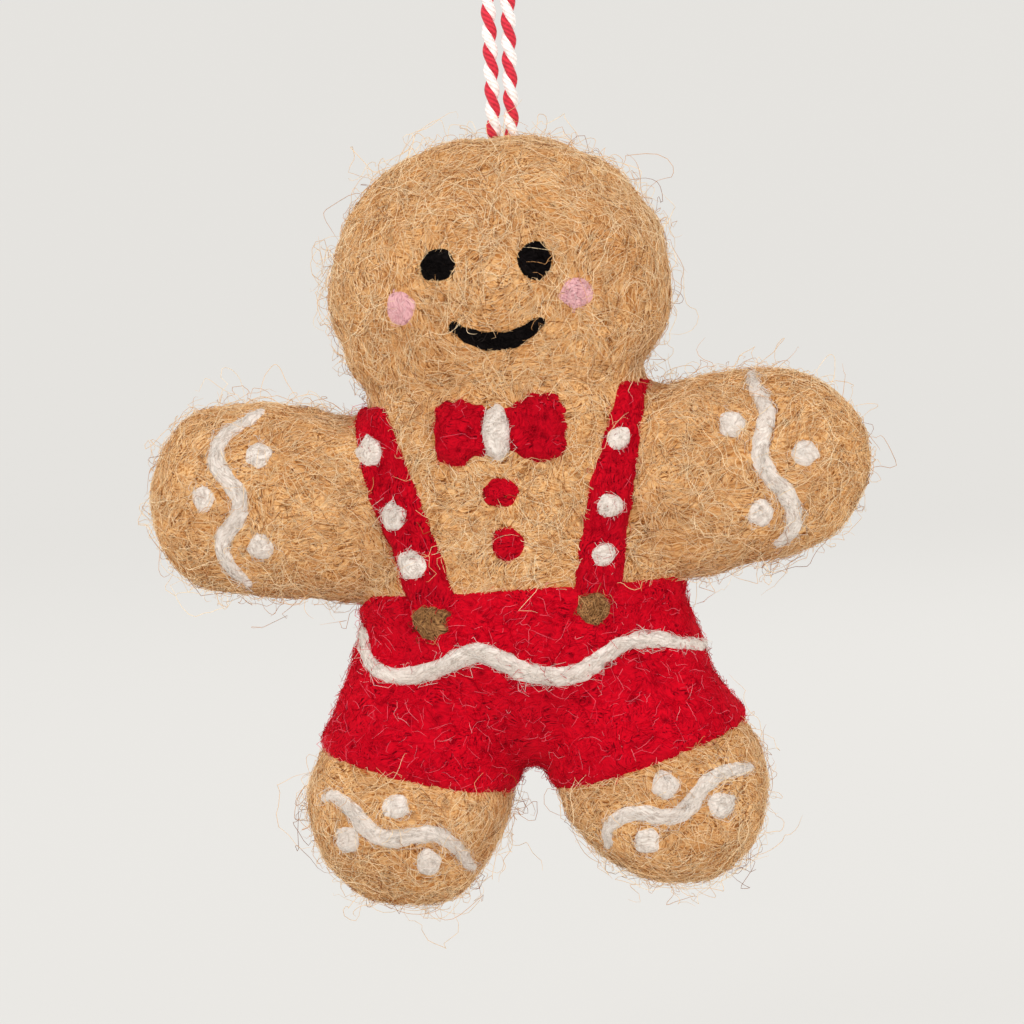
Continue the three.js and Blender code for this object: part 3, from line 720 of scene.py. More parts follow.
# %% The fibre tree and its inputs
FIBRE_INPUTS = {
    "Zone": 0.0,
    "Per square metre": 2e6,
    "Length": 5 * MM,
    "Radius": 0.06 * MM,
    "Points": 6,
    "Spread": math.pi,
    "Curl": 5 * MM,
    "Curl size": 4 * MM,
    "Root depth": 0.12 * MM,
    "Lift": 0.45 * MM,
    "Wildness": 0.0,
    "Loose end": 0.0,
    "Seed": 1,
    "Keep the felt": False,
}
SOCKETS = {float: "NodeSocketFloat", int: "NodeSocketInt", bool: "NodeSocketBool"}
SHADE_STARTS = (0.0, 0.4, 0.74, 0.94)  # share of the fibres before each shade

tree = bpy.data.node_groups.new("wool fibres", "GeometryNodeTree")
tree.interface.new_socket("Geometry", in_out="INPUT", socket_type="NodeSocketGeometry")
for label, value in FIBRE_INPUTS.items():
    kind = SOCKETS[type(value)]
    tree.interface.new_socket(label, in_out="INPUT", socket_type=kind).default_value = value
for number in range(len(SHADE_STARTS)):
    tree.interface.new_socket(f"Shade {number + 1}", in_out="INPUT", socket_type="NodeSocketMaterial")
tree.interface.new_socket("Geometry", in_out="OUTPUT", socket_type="NodeSocketGeometry")
given = add(tree, "NodeGroupInput").outputs
felt = given["Geometry"]
kept = {}  # what the felt and the points carry, as nodes that read it
for name in ("zone", "cover", "shade", "rise", "grain", "shift"):
    kind = "FLOAT_VECTOR" if name in ("grain", "shift") else "FLOAT"
    kept[name] = add(tree, "GeometryNodeInputNamedAttribute", name, data_type=kind)
print("tree with", len(given) - 1, "inputs")

# %% Points, thinned by the piece's own cover and kept to one zone
DRAWS = {"shade": (0.001, 1.0), "rise": (0.1, 1.0), "shift": ((0, 0, 0), (9, 9, 9))}  # least and most

off_zone = add(tree, MATH, kept["zone"], given["Zone"], operation="SUBTRACT")
off_zone = add(tree, MATH, off_zone, operation="ABSOLUTE")
in_zone = add(tree, MATH, off_zone, 0.5, operation="LESS_THAN")
cover = add(tree, MATH, kept["cover"], in_zone, operation="MULTIPLY")
density = add(tree, MATH, cover, given["Per square metre"], operation="MULTIPLY")
scatter = {"Mesh": felt, "Density": density, "Seed": given["Seed"]}
points = add(tree, "GeometryNodeDistributePointsOnFaces", scatter)
carried = points
for seed, (name, (least, most)) in enumerate(DRAWS.items(), 1):
    kind = kept[name].data_type
    draw = {"Min": least, "Max": most, "Seed": seed}
    value = add(tree, "FunctionNodeRandomValue", draw, data_type=kind)
    value = {"Geometry": carried, "Name": name, "Value": value}
    carried = add(tree, "GeometryNodeStoreNamedAttribute", value, data_type=kind, domain="POINT")
print("each point carries", list(DRAWS))

# %% A line on each point, flat on the surface, turned along the grain and then at random
SPIN_SEED, LENGTH_SEED = 4, 5
LENGTHS = (0.5, 1.35)  # shortest and longest, as shares of the given length
ALIGN, RANDOM = "FunctionNodeAlignRotationToVector", "FunctionNodeRandomValue"

upright = add(tree, ALIGN, {"Vector": points.outputs["Normal"]}, axis="Z")
combed = add(tree, ALIGN, {"Rotation": upright, "Vector": kept["grain"]}, axis="X", pivot_axis="Z")
least = add(tree, MATH, given["Spread"], -1.0, operation="MULTIPLY")
spin = add(tree, RANDOM, {"Min": least, "Max": given["Spread"], "Seed": SPIN_SEED}, data_type="FLOAT")
about_normal = add(tree, "FunctionNodeAxisAngleToRotation", (0, 0, 1), spin)
turned = add(tree, "FunctionNodeRotateRotation", combed, about_normal, rotation_space="LOCAL")
draw = {"Min": LENGTHS[0], "Max": LENGTHS[1], "Seed": LENGTH_SEED}
length = add(tree, RANDOM, draw, data_type="FLOAT")
length = add(tree, MATH, given["Length"], length, operation="MULTIPLY")
line = add(tree, "GeometryNodeCurvePrimitiveLine", (-0.5, 0, 0), (0.5, 0, 0))
line = add(tree, "GeometryNodeResampleCurve", {"Curve": line, "Count": given["Points"]})
sizes = add(tree, "ShaderNodeCombineXYZ", length, length, length)
lines = {"Points": carried, "Instance": line, "Rotation": turned, "Scale": sizes}
lines = add(tree, "GeometryNodeRealizeInstances", add(tree, "GeometryNodeInstanceOnPoints", lines))
print("lines of", LENGTHS, "times the given length")

# %% How a fibre arches: a hump, or for some a free end that rises all the way
LOW_RISE = 0.15  # share of the lift that even the flattest fibre has

along = add(tree, "GeometryNodeSplineParameter").outputs["Factor"]
rest = add(tree, MATH, 1.0, along, operation="SUBTRACT")
hump = add(tree, MATH, along, rest, operation="MULTIPLY")
hump = add(tree, MATH, hump, 4.0, operation="MULTIPLY")
free = add(tree, MATH, along, 0.7, operation="POWER")
# The shade's own number, drawn out and cut again, says which fibres have a free end
chance = add(tree, MATH, kept["shade"], 7.0, operation="MULTIPLY")
chance = add(tree, MATH, chance, operation="FRACT")
loose = add(tree, MATH, chance, given["Loose end"], operation="LESS_THAN")
arch = add(tree, MIX, loose, hump, free, data_type="FLOAT")
rise = add(tree, MATH, kept["rise"], 2.0, operation="POWER")
rise = add(tree, MATH, rise, 1 - LOW_RISE, LOW_RISE, operation="MULTIPLY_ADD")
arch = add(tree, MATH, arch, rise, operation="MULTIPLY")
height = add(tree, MATH, arch, given["Lift"], operation="MULTIPLY")
height = add(tree, MATH, height, given["Root depth"], operation="SUBTRACT")
wild_reach = add(tree, MATH, given["Wildness"], arch, operation="MULTIPLY")
print("tree of", len(tree.nodes), "nodes so far")

# %% Curl, then back on the surface, with the ends in it
here = add(tree, "GeometryNodeInputPosition")
sample_at = add(tree, VECTORS, here, kept["shift"], operation="ADD")
tightness = add(tree, MATH, 1.0, given["Curl size"], operation="DIVIDE")
moves = []  # the curl along the skin, and the wild part that also leaves it
for shift, turns, reach in (((0, 0, 0), 1.0, given["Curl"]), ((4, 2, 7), 1.3, wild_reach)):
    at = add(tree, VECTORS, sample_at, shift, operation="ADD")
    scale = add(tree, MATH, tightness, turns, operation="MULTIPLY")
    swirl = add(tree, NOISE, at, scale, 0.0).outputs["Color"]
    swirl = add(tree, VECTORS, swirl, (0.5, 0.5, 0.5), operation="SUBTRACT")
    moves.append(add(tree, VECTORS, swirl, reach, operation="SCALE"))
curled = add(tree, VECTORS, here, moves[0], operation="ADD")
place = {"Geometry": felt, "Sample Position": curled}
place = add(tree, "GeometryNodeProximity", place, target_element="FACES").outputs["Position"]
outwards = {"Mesh": felt, "Value": add(tree, "GeometryNodeInputNormal"), "Sample Position": curled}
outwards = add(tree, "GeometryNodeSampleNearestSurface", outwards, data_type="FLOAT_VECTOR")
for move in (add(tree, VECTORS, outwards, height, operation="SCALE"), moves[1]):
    place = add(tree, VECTORS, place, move, operation="ADD")
laid_lines = add(tree, "GeometryNodeSetPosition", {"Geometry": lines, "Position": place})
print("tree of", len(tree.nodes), "nodes so far")

# %% A thin tube that narrows to both ends, in one of the four shades
NARROWED = 0.65  # share of its thickness that a fibre loses at its ends

off_middle = add(tree, MATH, along, 0.5, operation="SUBTRACT")
off_middle = add(tree, MATH, off_middle, 2.0, operation="MULTIPLY")
taper = add(tree, MATH, off_middle, 2.0, operation="POWER")
taper = add(tree, MATH, taper, NARROWED, operation="MULTIPLY")
taper = add(tree, MATH, 1.0, taper, operation="SUBTRACT")
thickness = add(tree, MATH, taper, given["Radius"], operation="MULTIPLY")
section = add(tree, "GeometryNodeCurvePrimitiveCircle", 3, 1.0)
tubes = add(tree, "GeometryNodeCurveToMesh", laid_lines, section, thickness, True)
tubes = add(tree, "GeometryNodeSetShadeSmooth", tubes)
chosen = {"Switch": given["Keep the felt"], "True": felt}
chosen = add(tree, "GeometryNodeSwitch", chosen, input_type="GEOMETRY")
out = add(tree, "GeometryNodeRealizeInstances", add(tree, "GeometryNodeJoinGeometry", [chosen, tubes]))
for number, start in enumerate(SHADE_STARTS, 1):
    past = add(tree, MATH, kept["shade"], start, operation="GREATER_THAN")
    out = add(tree, "GeometryNodeSetMaterial", out, past, given[f"Shade {number}"])
add(tree, "NodeGroupOutput", out)
FIBRE_TREE = tree
FIBRE_SOCKETS = {s.name: s.identifier for s in tree.interface.items_tree if s.in_out == "INPUT"}
print("tree of", len(tree.nodes), "nodes")

# %% [markdown]
# Each wool has its own habit. The red is short and dense. The white is soft combed roving, with long
# parallel fibres in the wavy lines. Black, pink and olive are small tufts. Fuzz and strays are the wool
# that was never needled flat, so there are few of them and they stand up.

# %% How each wool lies
IN_MM = ("Length", "Radius", "Curl", "Curl size", "Lift", "Wildness", "Root depth")
PLAIN = ("Points", "Spread", "Loose end", "Per square metre")
HABITS = {  # in the order of the two lines above
    "tan": (4.2, 0.043, 4.5, 2.2, 0.45, 1.5, 0.05, 5, 0.9, 0.0, 2.7e6),
    "red": (2.8, 0.04, 4.0, 1.8, 0.4, 4.0, 0.05, 5, math.pi, 0.35, 1.9e6),
    "deep_red": (2.8, 0.04, 4.0, 1.8, 0.4, 4.0, 0.05, 5, math.pi, 0.35, 2.2e6),
    "white": (2.8, 0.034, 3.5, 1.8, 0.6, 5.0, 0.05, 5, math.pi, 0.35, 3.6e6),
    "black": (2.4, 0.034, 3.0, 1.8, 0.4, 4.0, 0.05, 5, math.pi, 0.35, 4.5e6),
    "pink": (2.4, 0.038, 3.0, 2.0, 0.4, 4.0, 0.05, 5, math.pi, 0.35, 3.0e6),
    "olive": (3.0, 0.042, 3.5, 2.0, 0.7, 6.0, 0.05, 5, math.pi, 0.35, 3.0e6),
    "fuzz": (4.6, 0.036, 3.4, 2.4, 2.5, 5.0, 0.1, 10, math.pi, 0.4, 2.6e5),
    "strays": (11.0, 0.042, 4.5, 4.0, 5.5, 9.0, 0.1, 19, math.pi, 0.4, 5.0e4),
    "shorts_fuzz": (2.6, 0.028, 2.2, 1.8, 0.8, 1.6, 0.1, 7, math.pi, 0.4, 3.0e5),
}
for habit, sizes in HABITS.items():
    named = zip(IN_MM + PLAIN, sizes)
    HABITS[habit] = {what: size * MM if what in IN_MM else size for what, size in named}


def fibres(name, felt, family, habit=None, **changes):
    """A mesh object of fibres on a felt piece. Changes are the tree's inputs, with _ for each space."""
    carrier = new_object(name, felt.data.copy())
    modifier = carrier.modifiers.new("fibres", "NODES")
    modifier.node_group = FIBRE_TREE
    values = HABITS[habit or family] | {key.replace("_", " "): value for key, value in changes.items()}
    values |= {f"Shade {number}": shade for number, shade in enumerate(FIBRES[family], 1)}
    for key, value in values.items():
        modifier[FIBRE_SOCKETS[key]] = value
    made = baked(carrier, name)
    for attribute in ("shade", "rise", "shift", "zone", "cover", "id"):
        if attribute in made.data.attributes:
            made.data.attributes.remove(made.data.attributes[attribute])
    return made


print(len(HABITS), "habits")

# %% [markdown]
# ## How the wool was laid
# A felter turns the head while laying wool on it, so its fibres run round the face. On the arms they run
# out to the hands. Everywhere they lie in tufts a few millimetres across, each turned its own way. The
# direction is kept on the mesh, where the streaks of the material and the fibres both read it.

# %% Grain
FACE_MIDDLE, FACE_LOW = (0.0, -21.0), -36
ARM_FROM, ARM_WAY = 22, (1.0, 0.25)  # beyond this far across, wool runs out along the arm
TUFT, TUFT_TURN = 7.0, 2.0  # how wide a tuft is in millimetres, and how far it turns
noise.seed_set(5)  # noise_vector starts from this, or else from the clock, and every run would differ


def way_in_scene(flat):
    """Directions across and up on the figure, one in each row, as directions in the scene."""
    across, height = flat.T
    return np.stack([across * COS - height * SIN, np.zeros(len(flat)), across * SIN + height * COS], axis=1)


def body_grain(x, up):
    """The direction in which the body's wool was laid, or nothing where it was laid at random."""
    around = np.stack([-(up - FACE_MIDDLE[1]), x - FACE_MIDDLE[0]], axis=1)
    on_arm = np.where((np.abs(x) > ARM_FROM)[:, None], ARM_WAY, (0.0, 0.0))
    flat = np.where((up > FACE_LOW)[:, None], around, on_arm)
    return way_in_scene(flat / np.maximum(np.linalg.norm(flat, axis=1), 1)[:, None])


def in_tufts(co, ways, turn=TUFT_TURN):
    """The directions at places, once each tuft has turned its own way."""
    ways = ways + np.array([noise.noise_vector(Vector(p) / MM / TUFT) for p in co]) * turn
    return ways / np.maximum(np.linalg.norm(ways, axis=1), 1e-6)[:, None]


mark(skin.data, "grain", in_tufts(smooth_places, body_grain(skin_x, skin_up)))
print("grain kept on", len(skin_x), "vertices")

# %% [markdown]
# ## Body pieces
# The one skin is cut back into the six lumps that were felted. Each cut is a plane that both neighbours
# share, so the pieces fit without a gap, and the fibres laid over the whole skin hide the cuts as wool
# does. A needled lump is tight and full.

# %% Cutting the skin
CORNER = (21.0, -37.0)  # where head, torso and arm meet
HIP = -66.0
PLANES = {  # a place on the figure, and the direction that is cut away
    "head": [((0, CORNER[1]), (0, -1)), (CORNER, (1, -1)), ((-CORNER[0], CORNER[1]), (-1, -1))],
    "torso": [((0, CORNER[1]), (0, 1)), ((0, HIP), (0, -1)), (CORNER, (1, 0)), ((-CORNER[0], 0), (-1, 0))],
    "arm_left": [((-CORNER[0], 0), (1, 0)), ((0, HIP), (0, -1)), ((-CORNER[0], CORNER[1]), (1, 1))],
    "arm_right": [((CORNER[0], 0), (-1, 0)), ((0, HIP), (0, -1)), (CORNER, (-1, 1))],
    "leg_left": [((0, HIP), (0, 1)), ((0, 0), (1, 0))],
    "leg_right": [((0, HIP), (0, 1)), ((0, 0), (-1, 0))],
}


def kept_side(planes, x, up):
    """Which places lie on the kept side of all the planes."""
    keep = np.ones(len(x), bool)
    for (px, pz), (dx, dz) in planes:
        keep &= (x - px) * dx + (up - pz) * dz <= 0
    return keep


def cut_lump(name, planes):
    """One closed piece of the skin."""
    shape = bmesh.new()
    shape.from_mesh(skin.data)
    for (px, pz), (dx, dz) in planes:
        place = in_scene(px, pz)
        away = in_scene(px + dx, pz + dz) - place
        parts = shape.verts[:] + shape.edges[:] + shape.faces[:]
        cut = bmesh.ops.bisect_plane(shape, geom=parts, plane_co=place, plane_no=away, clear_outer=True)
        rim = [e for e in cut["geom_cut"] if isinstance(e, bmesh.types.BMEdge) and e.is_boundary]
        bmesh.ops.holes_fill(shape, edges=rim, sides=0)
        for edge in rim:
            edge.smooth = False
    print(name, len(shape.faces), "faces,", sum(e.is_boundary for e in shape.edges), "open edges")
    for face in shape.faces:
        face.smooth = len(face.verts) <= 5
    piece = new_object(f"{name}_wool", as_mesh(f"{name}_wool", shape))
    piece.data.materials.append(FELT["tan"])
    return piece


lumps = {node: cut_lump(node, planes) for node, planes in PLANES.items()}

# %% [markdown]
# ## Felted layers
# Shorts, braces, bow, buttons, face and icing are each a flat tuft of dyed wool, needled on. A layer here
# is the patch of skin under its outline, raised to its thickness in the middle and sinking into the skin
# at its edge, so that it bulges and grips like felt. It is a closed shell whose underside lies inside
# the wool it is fixed to. A sharp cut edge would look like sheet felt, which this ornament has none of.

# %% A patch of the skin, with its quads split finer
REACH = 1.1  # millimetres that a patch goes on past its outline
FRONT = 0.3  # the front is where the normal points back by less than this


def finer(values, faces):
    """The same quads, each split in four. Values are given for each corner and are averaged."""
    edges = np.sort(np.stack([faces, np.roll(faces, -1, axis=1)], axis=2).reshape(-1, 2), axis=1)
    pairs, index = np.unique(edges, axis=0, return_inverse=True)
    index = index.reshape(-1, 4) + len(values)
    middle = len(values) + len(pairs) + np.arange(len(faces))
    points = np.concatenate([values, values[pairs].mean(axis=1), values[faces].mean(axis=1)])
    (a, b, c, d), (ab, bc, cd, da) = faces.T, index.T
    quarters = [[a, ab, middle, da], [ab, b, bc, middle], [middle, bc, c, cd], [da, middle, cd, d]]
    return points, np.concatenate([np.stack(q, axis=1) for q in quarters])


def patch(field, all_round):
    """Places, normals and quads of the smooth skin inside an outline and a little past it."""
    chosen = field(skin_x, skin_up) > -REACH
    if not all_round:
        chosen &= smooth_normals[:, 1] < FRONT
    faces = quads[chosen[quads].all(axis=1)]
    used, index = np.unique(faces, return_inverse=True)
    faces = index.reshape(-1, 4)
    values = np.concatenate([smooth_places[used], smooth_normals[used]], axis=1)
    if not all_round:  # what runs all round is wide, so the skin's own quads are fine enough for it
        values, faces = finer(values, faces)
    co, out = values[:, :3], values[:, 3:]
    return co, out / np.linalg.norm(out, axis=1)[:, None], faces


print("a patch under the shorts has", len(patch(inside_shorts, True)[2]), "quads")

# %% How a layer rises, and its closed shell
GRIP = 0.45  # millimetres that an edge is sunk
UNDERSIDE = 1.2  # millimetres from the skin down to the hidden side
EDGE_OUT = 0.5  # how far past its outline a layer still rises
LOWEST = -0.3  # share of its rounding that an edge goes on down
THINNEST = 0.1  # millimetres of wool that are left at the rim


def rise_over(inside, height, edge):
    """How far a layer stands off the skin at a place that far inside its outline."""
    share = np.clip((inside + EDGE_OUT) / (edge + EDGE_OUT), LOWEST, 1) * np.pi / 2
    round_edge = np.where(share > 0, np.sin(share), share)
    return np.maximum((height + GRIP) * round_edge - GRIP, THINNEST - UNDERSIDE)


def shell(name, top, bottom, faces):
    """A closed mesh between two copies of the same quads, with a wall along the rim."""
    directed = np.stack([faces, np.roll(faces, -1, axis=1)], axis=2).reshape(-1, 2)
    codes = np.sort(directed, axis=1) @ np.array([faces.max() + 1, 1])
    _, index, uses = np.unique(codes, return_inverse=True, return_counts=True)
    start, end = directed[uses[index] == 1].T
    count = len(top)
    walls = np.stack([end, start, start + count, end + count], axis=1)
    everything = np.concatenate([faces, faces[:, ::-1] + count, walls])
    mesh = bpy.data.meshes.new(name)
    mesh.from_pydata(np.concatenate([top, bottom]).tolist(), [], everything.tolist())
    mesh.shade_smooth()
    return mesh


print("an edge 1 mm wide rises", rise_over(np.array([-0.5, 0.0, 0.5, 1.0]), 1.0, 1.0).round(2), "mm")

# %% A raised layer
RAGGED, RAGGED_SIZE = 0.35, 1.6  # how far an outline wanders, and over how many millimetres
BACK_FADE = 6  # how fast an outline draws in where the skin turns to the back
PITS_FROM = 0.8  # share of the edge's width where the pits begin
FIBRES_PAST = 0.1  # millimetres past the outline that a layer's own fibres grow
LINE_TURN = 0.4  # tufts turn less where a layer has a grain of its own
laid = []  # the outlines of all layers, and whether each runs all round the figure
made = {}  # the finished pieces, by the node that each stands for


def layer(name, family, field, height, edge, under=None, all_round=False, grain=None, ragged=RAGGED):
    """A felted layer of a height in millimetres, rounded over the width of its edge, on another layer."""
    laid.append((field, all_round))
    co, out, faces = patch(field, all_round)
    x, up = on_figure(co)
    inside = field(x, up) + np.array([noise.noise(Vector(p) / MM / RAGGED_SIZE) for p in co]) * ragged
    if not all_round:
        inside -= BACK_FADE * np.maximum(out[:, 1], 0)
    step, stabs = needled(co / MM)
    stabs *= inside > edge * PITS_FROM
    base = 0 if under is None else np.maximum(rise_over(*under(x, up)), 0)
    rise = base + rise_over(inside, height, edge) + step - stabs * PIT_DEPTH
    top, bottom = (co + out * (off * MM)[:, None] for off in (rise, base - UNDERSIDE + step))
    mesh = shell(name, top, bottom, faces)
    hidden = np.zeros(len(co))
    # the pits are kept for the painted shade of the wool's colour
    for what, values in (("pit_shade", stabs), ("cover", inside > -FIBRES_PAST), ("zone", out[:, 1] > 0)):
        mark(mesh, what, np.concatenate([values, hidden]))
    ways = in_tufts(co, np.zeros(co.shape)) if grain is None else in_tufts(co, grain(x, up), LINE_TURN)
    mark(mesh, "grain", np.tile(ways, (2, 1)))
    mesh.materials.append(FELT[family])
    return new_object(name, mesh)


def furred(node, felt, family, **changes):
    """The layer with its own fibres as one piece, which stands for a node of the frame."""
    piece = fibres(f"{node}_wool", felt, family, Keep_the_felt=True, Seed=len(made), **changes)
    bpy.data.objects.remove(felt)
    made[node] = (piece, family)


print("outlines wander", RAGGED, "mm over", RAGGED_SIZE, "mm")

# %% Shorts
SHORTS_RISE = (1.2, 1.6)  # height, and width of the rounded edge
SHORTS_SEED = 20

shorts = layer("shorts_wool", "red", inside_shorts, *SHORTS_RISE, all_round=True)
made["shorts"] = (shorts, "red")
loose_wool = [
    fibres(f"shorts_{side}_fibres", shorts, "red", Zone=float(number), Seed=SHORTS_SEED + number)
    for number, side in enumerate(("front", "back"))
]
print("shorts", triangles(shorts), [triangles(piece) for piece in loose_wool])

# %% Braces
STRAP_RISE = (1.1, 1.3)
STRAP_SPREAD = 1.3


def strap_grain(side, x, up):
    """The strap's own direction."""
    (x0, z0, _), _, (x1, z1, _) = STRAPS[side]
    direction = np.array((in_scene(x1, z1) - in_scene(x0, z0)).normalized())
    return np.tile(direction, (len(x), 1))


for side in STRAPS:
    field, grain = partial(inside_strap, side), partial(strap_grain, side)
    strap = layer(f"brace_{side}", "deep_red", field, *STRAP_RISE, all_round=True, grain=grain)
    furred(f"brace_{side}", strap, "deep_red", Spread=STRAP_SPREAD)
    print(f"brace_{side}", triangles(made[f"brace_{side}"][0]))

# %% [markdown]
# The bow is two tufts and a white knot. Each lobe is narrow at the knot and widest near its outer corners,
# which are round.

# %% Bow
BOW_UP = -41.9
LOBE_HALF = [(0, 0.6), (0.25, 0.74), (0.55, 0.95), (0.8, 1), (0.95, 0.86), (1, 0.55), (0.96, 0.15)]
LOBES = {"left": (-1.7, -7.8, 9.3), "right": (0.6, 8.4, 9.7)}  # start across, reach and height
LOBE_RISE = (1.4, 2.2)
CORNER_ROUND = 1.3


def inside_lobe(side, x, up):
    """Inside a bow lobe. Its corners are drawn in, so far that rounding them brings it to its size."""
    start, reach, height = LOBES[side]
    margin = math.copysign(CORNER_ROUND, reach)
    start, reach, tall = start + margin, reach - 2 * margin, height / 2 - CORNER_ROUND
    upper = [(start + along * reach, BOW_UP + half * tall) for along, half in LOBE_HALF]
    outline = upper + [(across, 2 * BOW_UP - height) for across, height in reversed(upper)]
    return inside_polygon(outline, x, up) + CORNER_ROUND


for side in LOBES:
    lobe = layer(f"bow_lobe_{side}", "deep_red", partial(inside_lobe, side), *LOBE_RISE, ragged=0.6)
    furred(f"bow_lobe_{side}", lobe, "deep_red", Length=3 * MM)
    print(f"bow_lobe_{side}", triangles(made[f"bow_lobe_{side}"][0]))

# %% Tufts, and the buttons
CHEST_BUTTONS = {"upper": (5.0, 4.1), "lower": (4.6, 4.5)}  # width and height
BRACE_BUTTONS = {"left": (4.9, 4.1, (0.3, 0)), "right": (4.1, 3.9, (-0.8, 0.6))}  # and a small shift


def middle_of(node, shift=(0, 0)):
    """The middle of a frame solid, across and up on the figure in millimetres, or a shift away from it."""
    x, up = on_figure(np.mean([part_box(node)], axis=1))
    return float(x[0]) + shift[0], float(up[0]) + shift[1]


def tuft(node, family, width, tall, height, edge, place=None, under=None, ragged=RAGGED, **changes):
    """A round or oval tuft where the frame has it, or at a place."""
    field = partial(inside_oval, place or middle_of(node), width, tall)
    felt = layer(node, family, field, height, edge, under=under, ragged=ragged)
    furred(node, felt, family, **changes)


def on_shorts(x, up):
    """What a layer on the shorts lies on."""
    return inside_shorts(x, up), *SHORTS_RISE


tuft("bow_knot", "white", 4.0, 6.8, 1.7, 1.2, place=(-0.5, -42.3))
for which, (width, tall) in CHEST_BUTTONS.items():
    tuft(f"chest_button_{which}", "deep_red", width, tall, 0.8, 1.3, Length=2.4 * MM)
for side, (width, tall, shift) in BRACE_BUTTONS.items():
    node = f"brace_button_{side}"
    tuft(node, "olive", width, tall, 0.8, 1.2, place=middle_of(node, shift), under=on_shorts, ragged=0.9)
print({node: triangles(piece) for node, (piece, _) in made.items()})

# %% [markdown]
# The face is small soft tufts. Black wool is laid so thin at the edges of the eyes that tan fibres show
# through it, and the smile is one curl of it, thick in the middle and thin at both ends.

# %% Face
FACE = {  # family, place, width, height, and how far each stands off
    "eye_left": ("black", (-7.0, -18.3), 5.3, 4.4, 0.4),
    "eye_right": ("black", (6.7, -18.6), 4.6, 5.5, 0.4),
    "cheek_left": ("pink", (-12.7, -23.8), 4.7, 4.9, 0.25),
    "cheek_right": ("pink", (12.2, -23.6), 4.6, 4.4, 0.25),
}
SMILE = [(-5.3, -27.0), (-3.6, -28.3), (-1.0, -29.3), (1.6, -29.5), (4.2, -28.9), (6.8, -27.3)]
SMILE_WIDTH, SMILE_ENDS = 2.2, 0.55

for node, (family, place, width, tall, height) in FACE.items():
    tuft(node, family, width, tall, height, 0.9, place=place)
mouth = layer("mouth", "black", partial(inside_band, SMILE, SMILE_WIDTH, SMILE_ENDS), 0.45, 0.7)
furred("mouth", mouth, "black")
print(len(made), "pieces so far")

# %% [markdown]
# The icing is white roving, a soft rope of combed wool. A wavy line is one length of it, needled along its
# middle, so its fibres run along it. Each dot is a pinch of the same wool, rolled into a ball.

# %% Wavy lines
WAVES = {
    "arm_wave_left": [
        (-35.2, -37.6), (-37.2, -38.5), (-40.0, -40.2), (-41.1, -42.2), (-40.6, -45.1), (-38.6, -47.9),
        (-38.1, -49.8), (-39.0, -52.3), (-41.1, -54.6), (-41.4, -56.7), (-40.3, -59.4), (-38.5, -61.4),
    ],
    "arm_wave_right": [
        (35.0, -36.9), (35.9, -39.1), (37.2, -42.0), (36.6, -44.8), (36.0, -48.0),
        (36.9, -50.8), (39.1, -53.6), (40.1, -56.7), (39.4, -59.2), (37.4, -60.5),
    ],
    "foot_wave_left": [
        (-29.8, -92.7), (-27.4, -92.4), (-25.2, -94.5), (-23.0, -97.3), (-20.2, -98.6),
        (-16.4, -98.4), (-14.0, -98.3), (-11.7, -99.8), (-10.2, -102.3), (-9.6, -103.9),
    ],
    "foot_wave_right": [
        (31.0, -92.2), (29.0, -92.1), (26.6, -92.6), (24.7, -94.0), (23.2, -96.0), (21.3, -97.6),
        (18.4, -97.8), (15.6, -97.1), (12.7, -97.7), (10.8, -99.2), (10.4, -101.8),
    ],
    "shorts_wave": [
        (-21.7, -69.9), (-21.3, -73.0), (-19.4, -75.2), (-16.3, -75.9), (-12.6, -75.1), (-8.9, -73.7),
        (-5.6, -72.7), (-2.7, -73.5), (0.7, -75.6), (3.9, -76.7), (7.5, -76.8), (10.8, -75.2),
        (14.2, -73.2), (17.9, -72.9), (21.6, -73.9), (24.3, -75.0),
    ],
}  # fmt: skip
BEAD, BEAD_ENDS = 2.5, 0.45
BEAD_RISE, SHORTS_BEAD_RISE, BEAD_EDGE = 0.4, 0.6, 0.9


def line_grain(line, x, up):
    """The direction of the nearest part of a line."""
    points = smooth_line(line, LINE_STEP)
    gaps = np.hypot(x[:, None] - points[:, 0], up[:, None] - points[:, 1])
    ahead = np.gradient(points, axis=0)[gaps.argmin(axis=1)]
    return way_in_scene(ahead / np.linalg.norm(ahead, axis=1)[:, None])


for node, line in WAVES.items():
    field, grain = partial(inside_band, line, BEAD, BEAD_ENDS), partial(line_grain, line)
    rise, under = (SHORTS_BEAD_RISE, on_shorts) if node == "shorts_wave" else (BEAD_RISE, None)
    wave = layer(node, "white", field, rise, BEAD_EDGE, under=under, grain=grain)
    furred(node, wave, "white", Length=4 * MM, Spread=0.6)
print({node: triangles(made[node][0]) for node in WAVES})

# %% Dots
DOTS = {"arm": (3.5, 3.6), "foot": (3.6, 3.7), "brace": (3.9, 3.2)}  # width on the left and on the right
DOT_SHIFTS = {"foot_right": (-0.5, 0.6), "brace_left": (0, -0.4), "brace_right": (-0.5, -0.4)}


def on_strap(side, x, up):
    """What a layer on a strap lies on."""
    return inside_strap(side, x, up), *STRAP_RISE


for which, side in enumerate(STRAPS):
    for limb, widths in DOTS.items():
        under = partial(on_strap, side) if limb == "brace" else None
        for number in (1, 2, 3):
            node = f"{limb}_dot_{side}_{number}"
            place = middle_of(node, DOT_SHIFTS.get(f"{limb}_{side}", (0, 0)))
            tuft(node, "white", widths[which], widths[which], 0.5, 1.0, place=place, under=under, ragged=0.5)
print(len(made), "pieces,", sum(triangles(piece) for piece, _ in made.values()), "triangles")

# %% [markdown]
# ## Tan fibres
# The tan fibres come after everything that lies on the body, because nothing grows under the clothes and
# the icing. They are laid zone by zone, to keep each mesh at a size that any program can open.

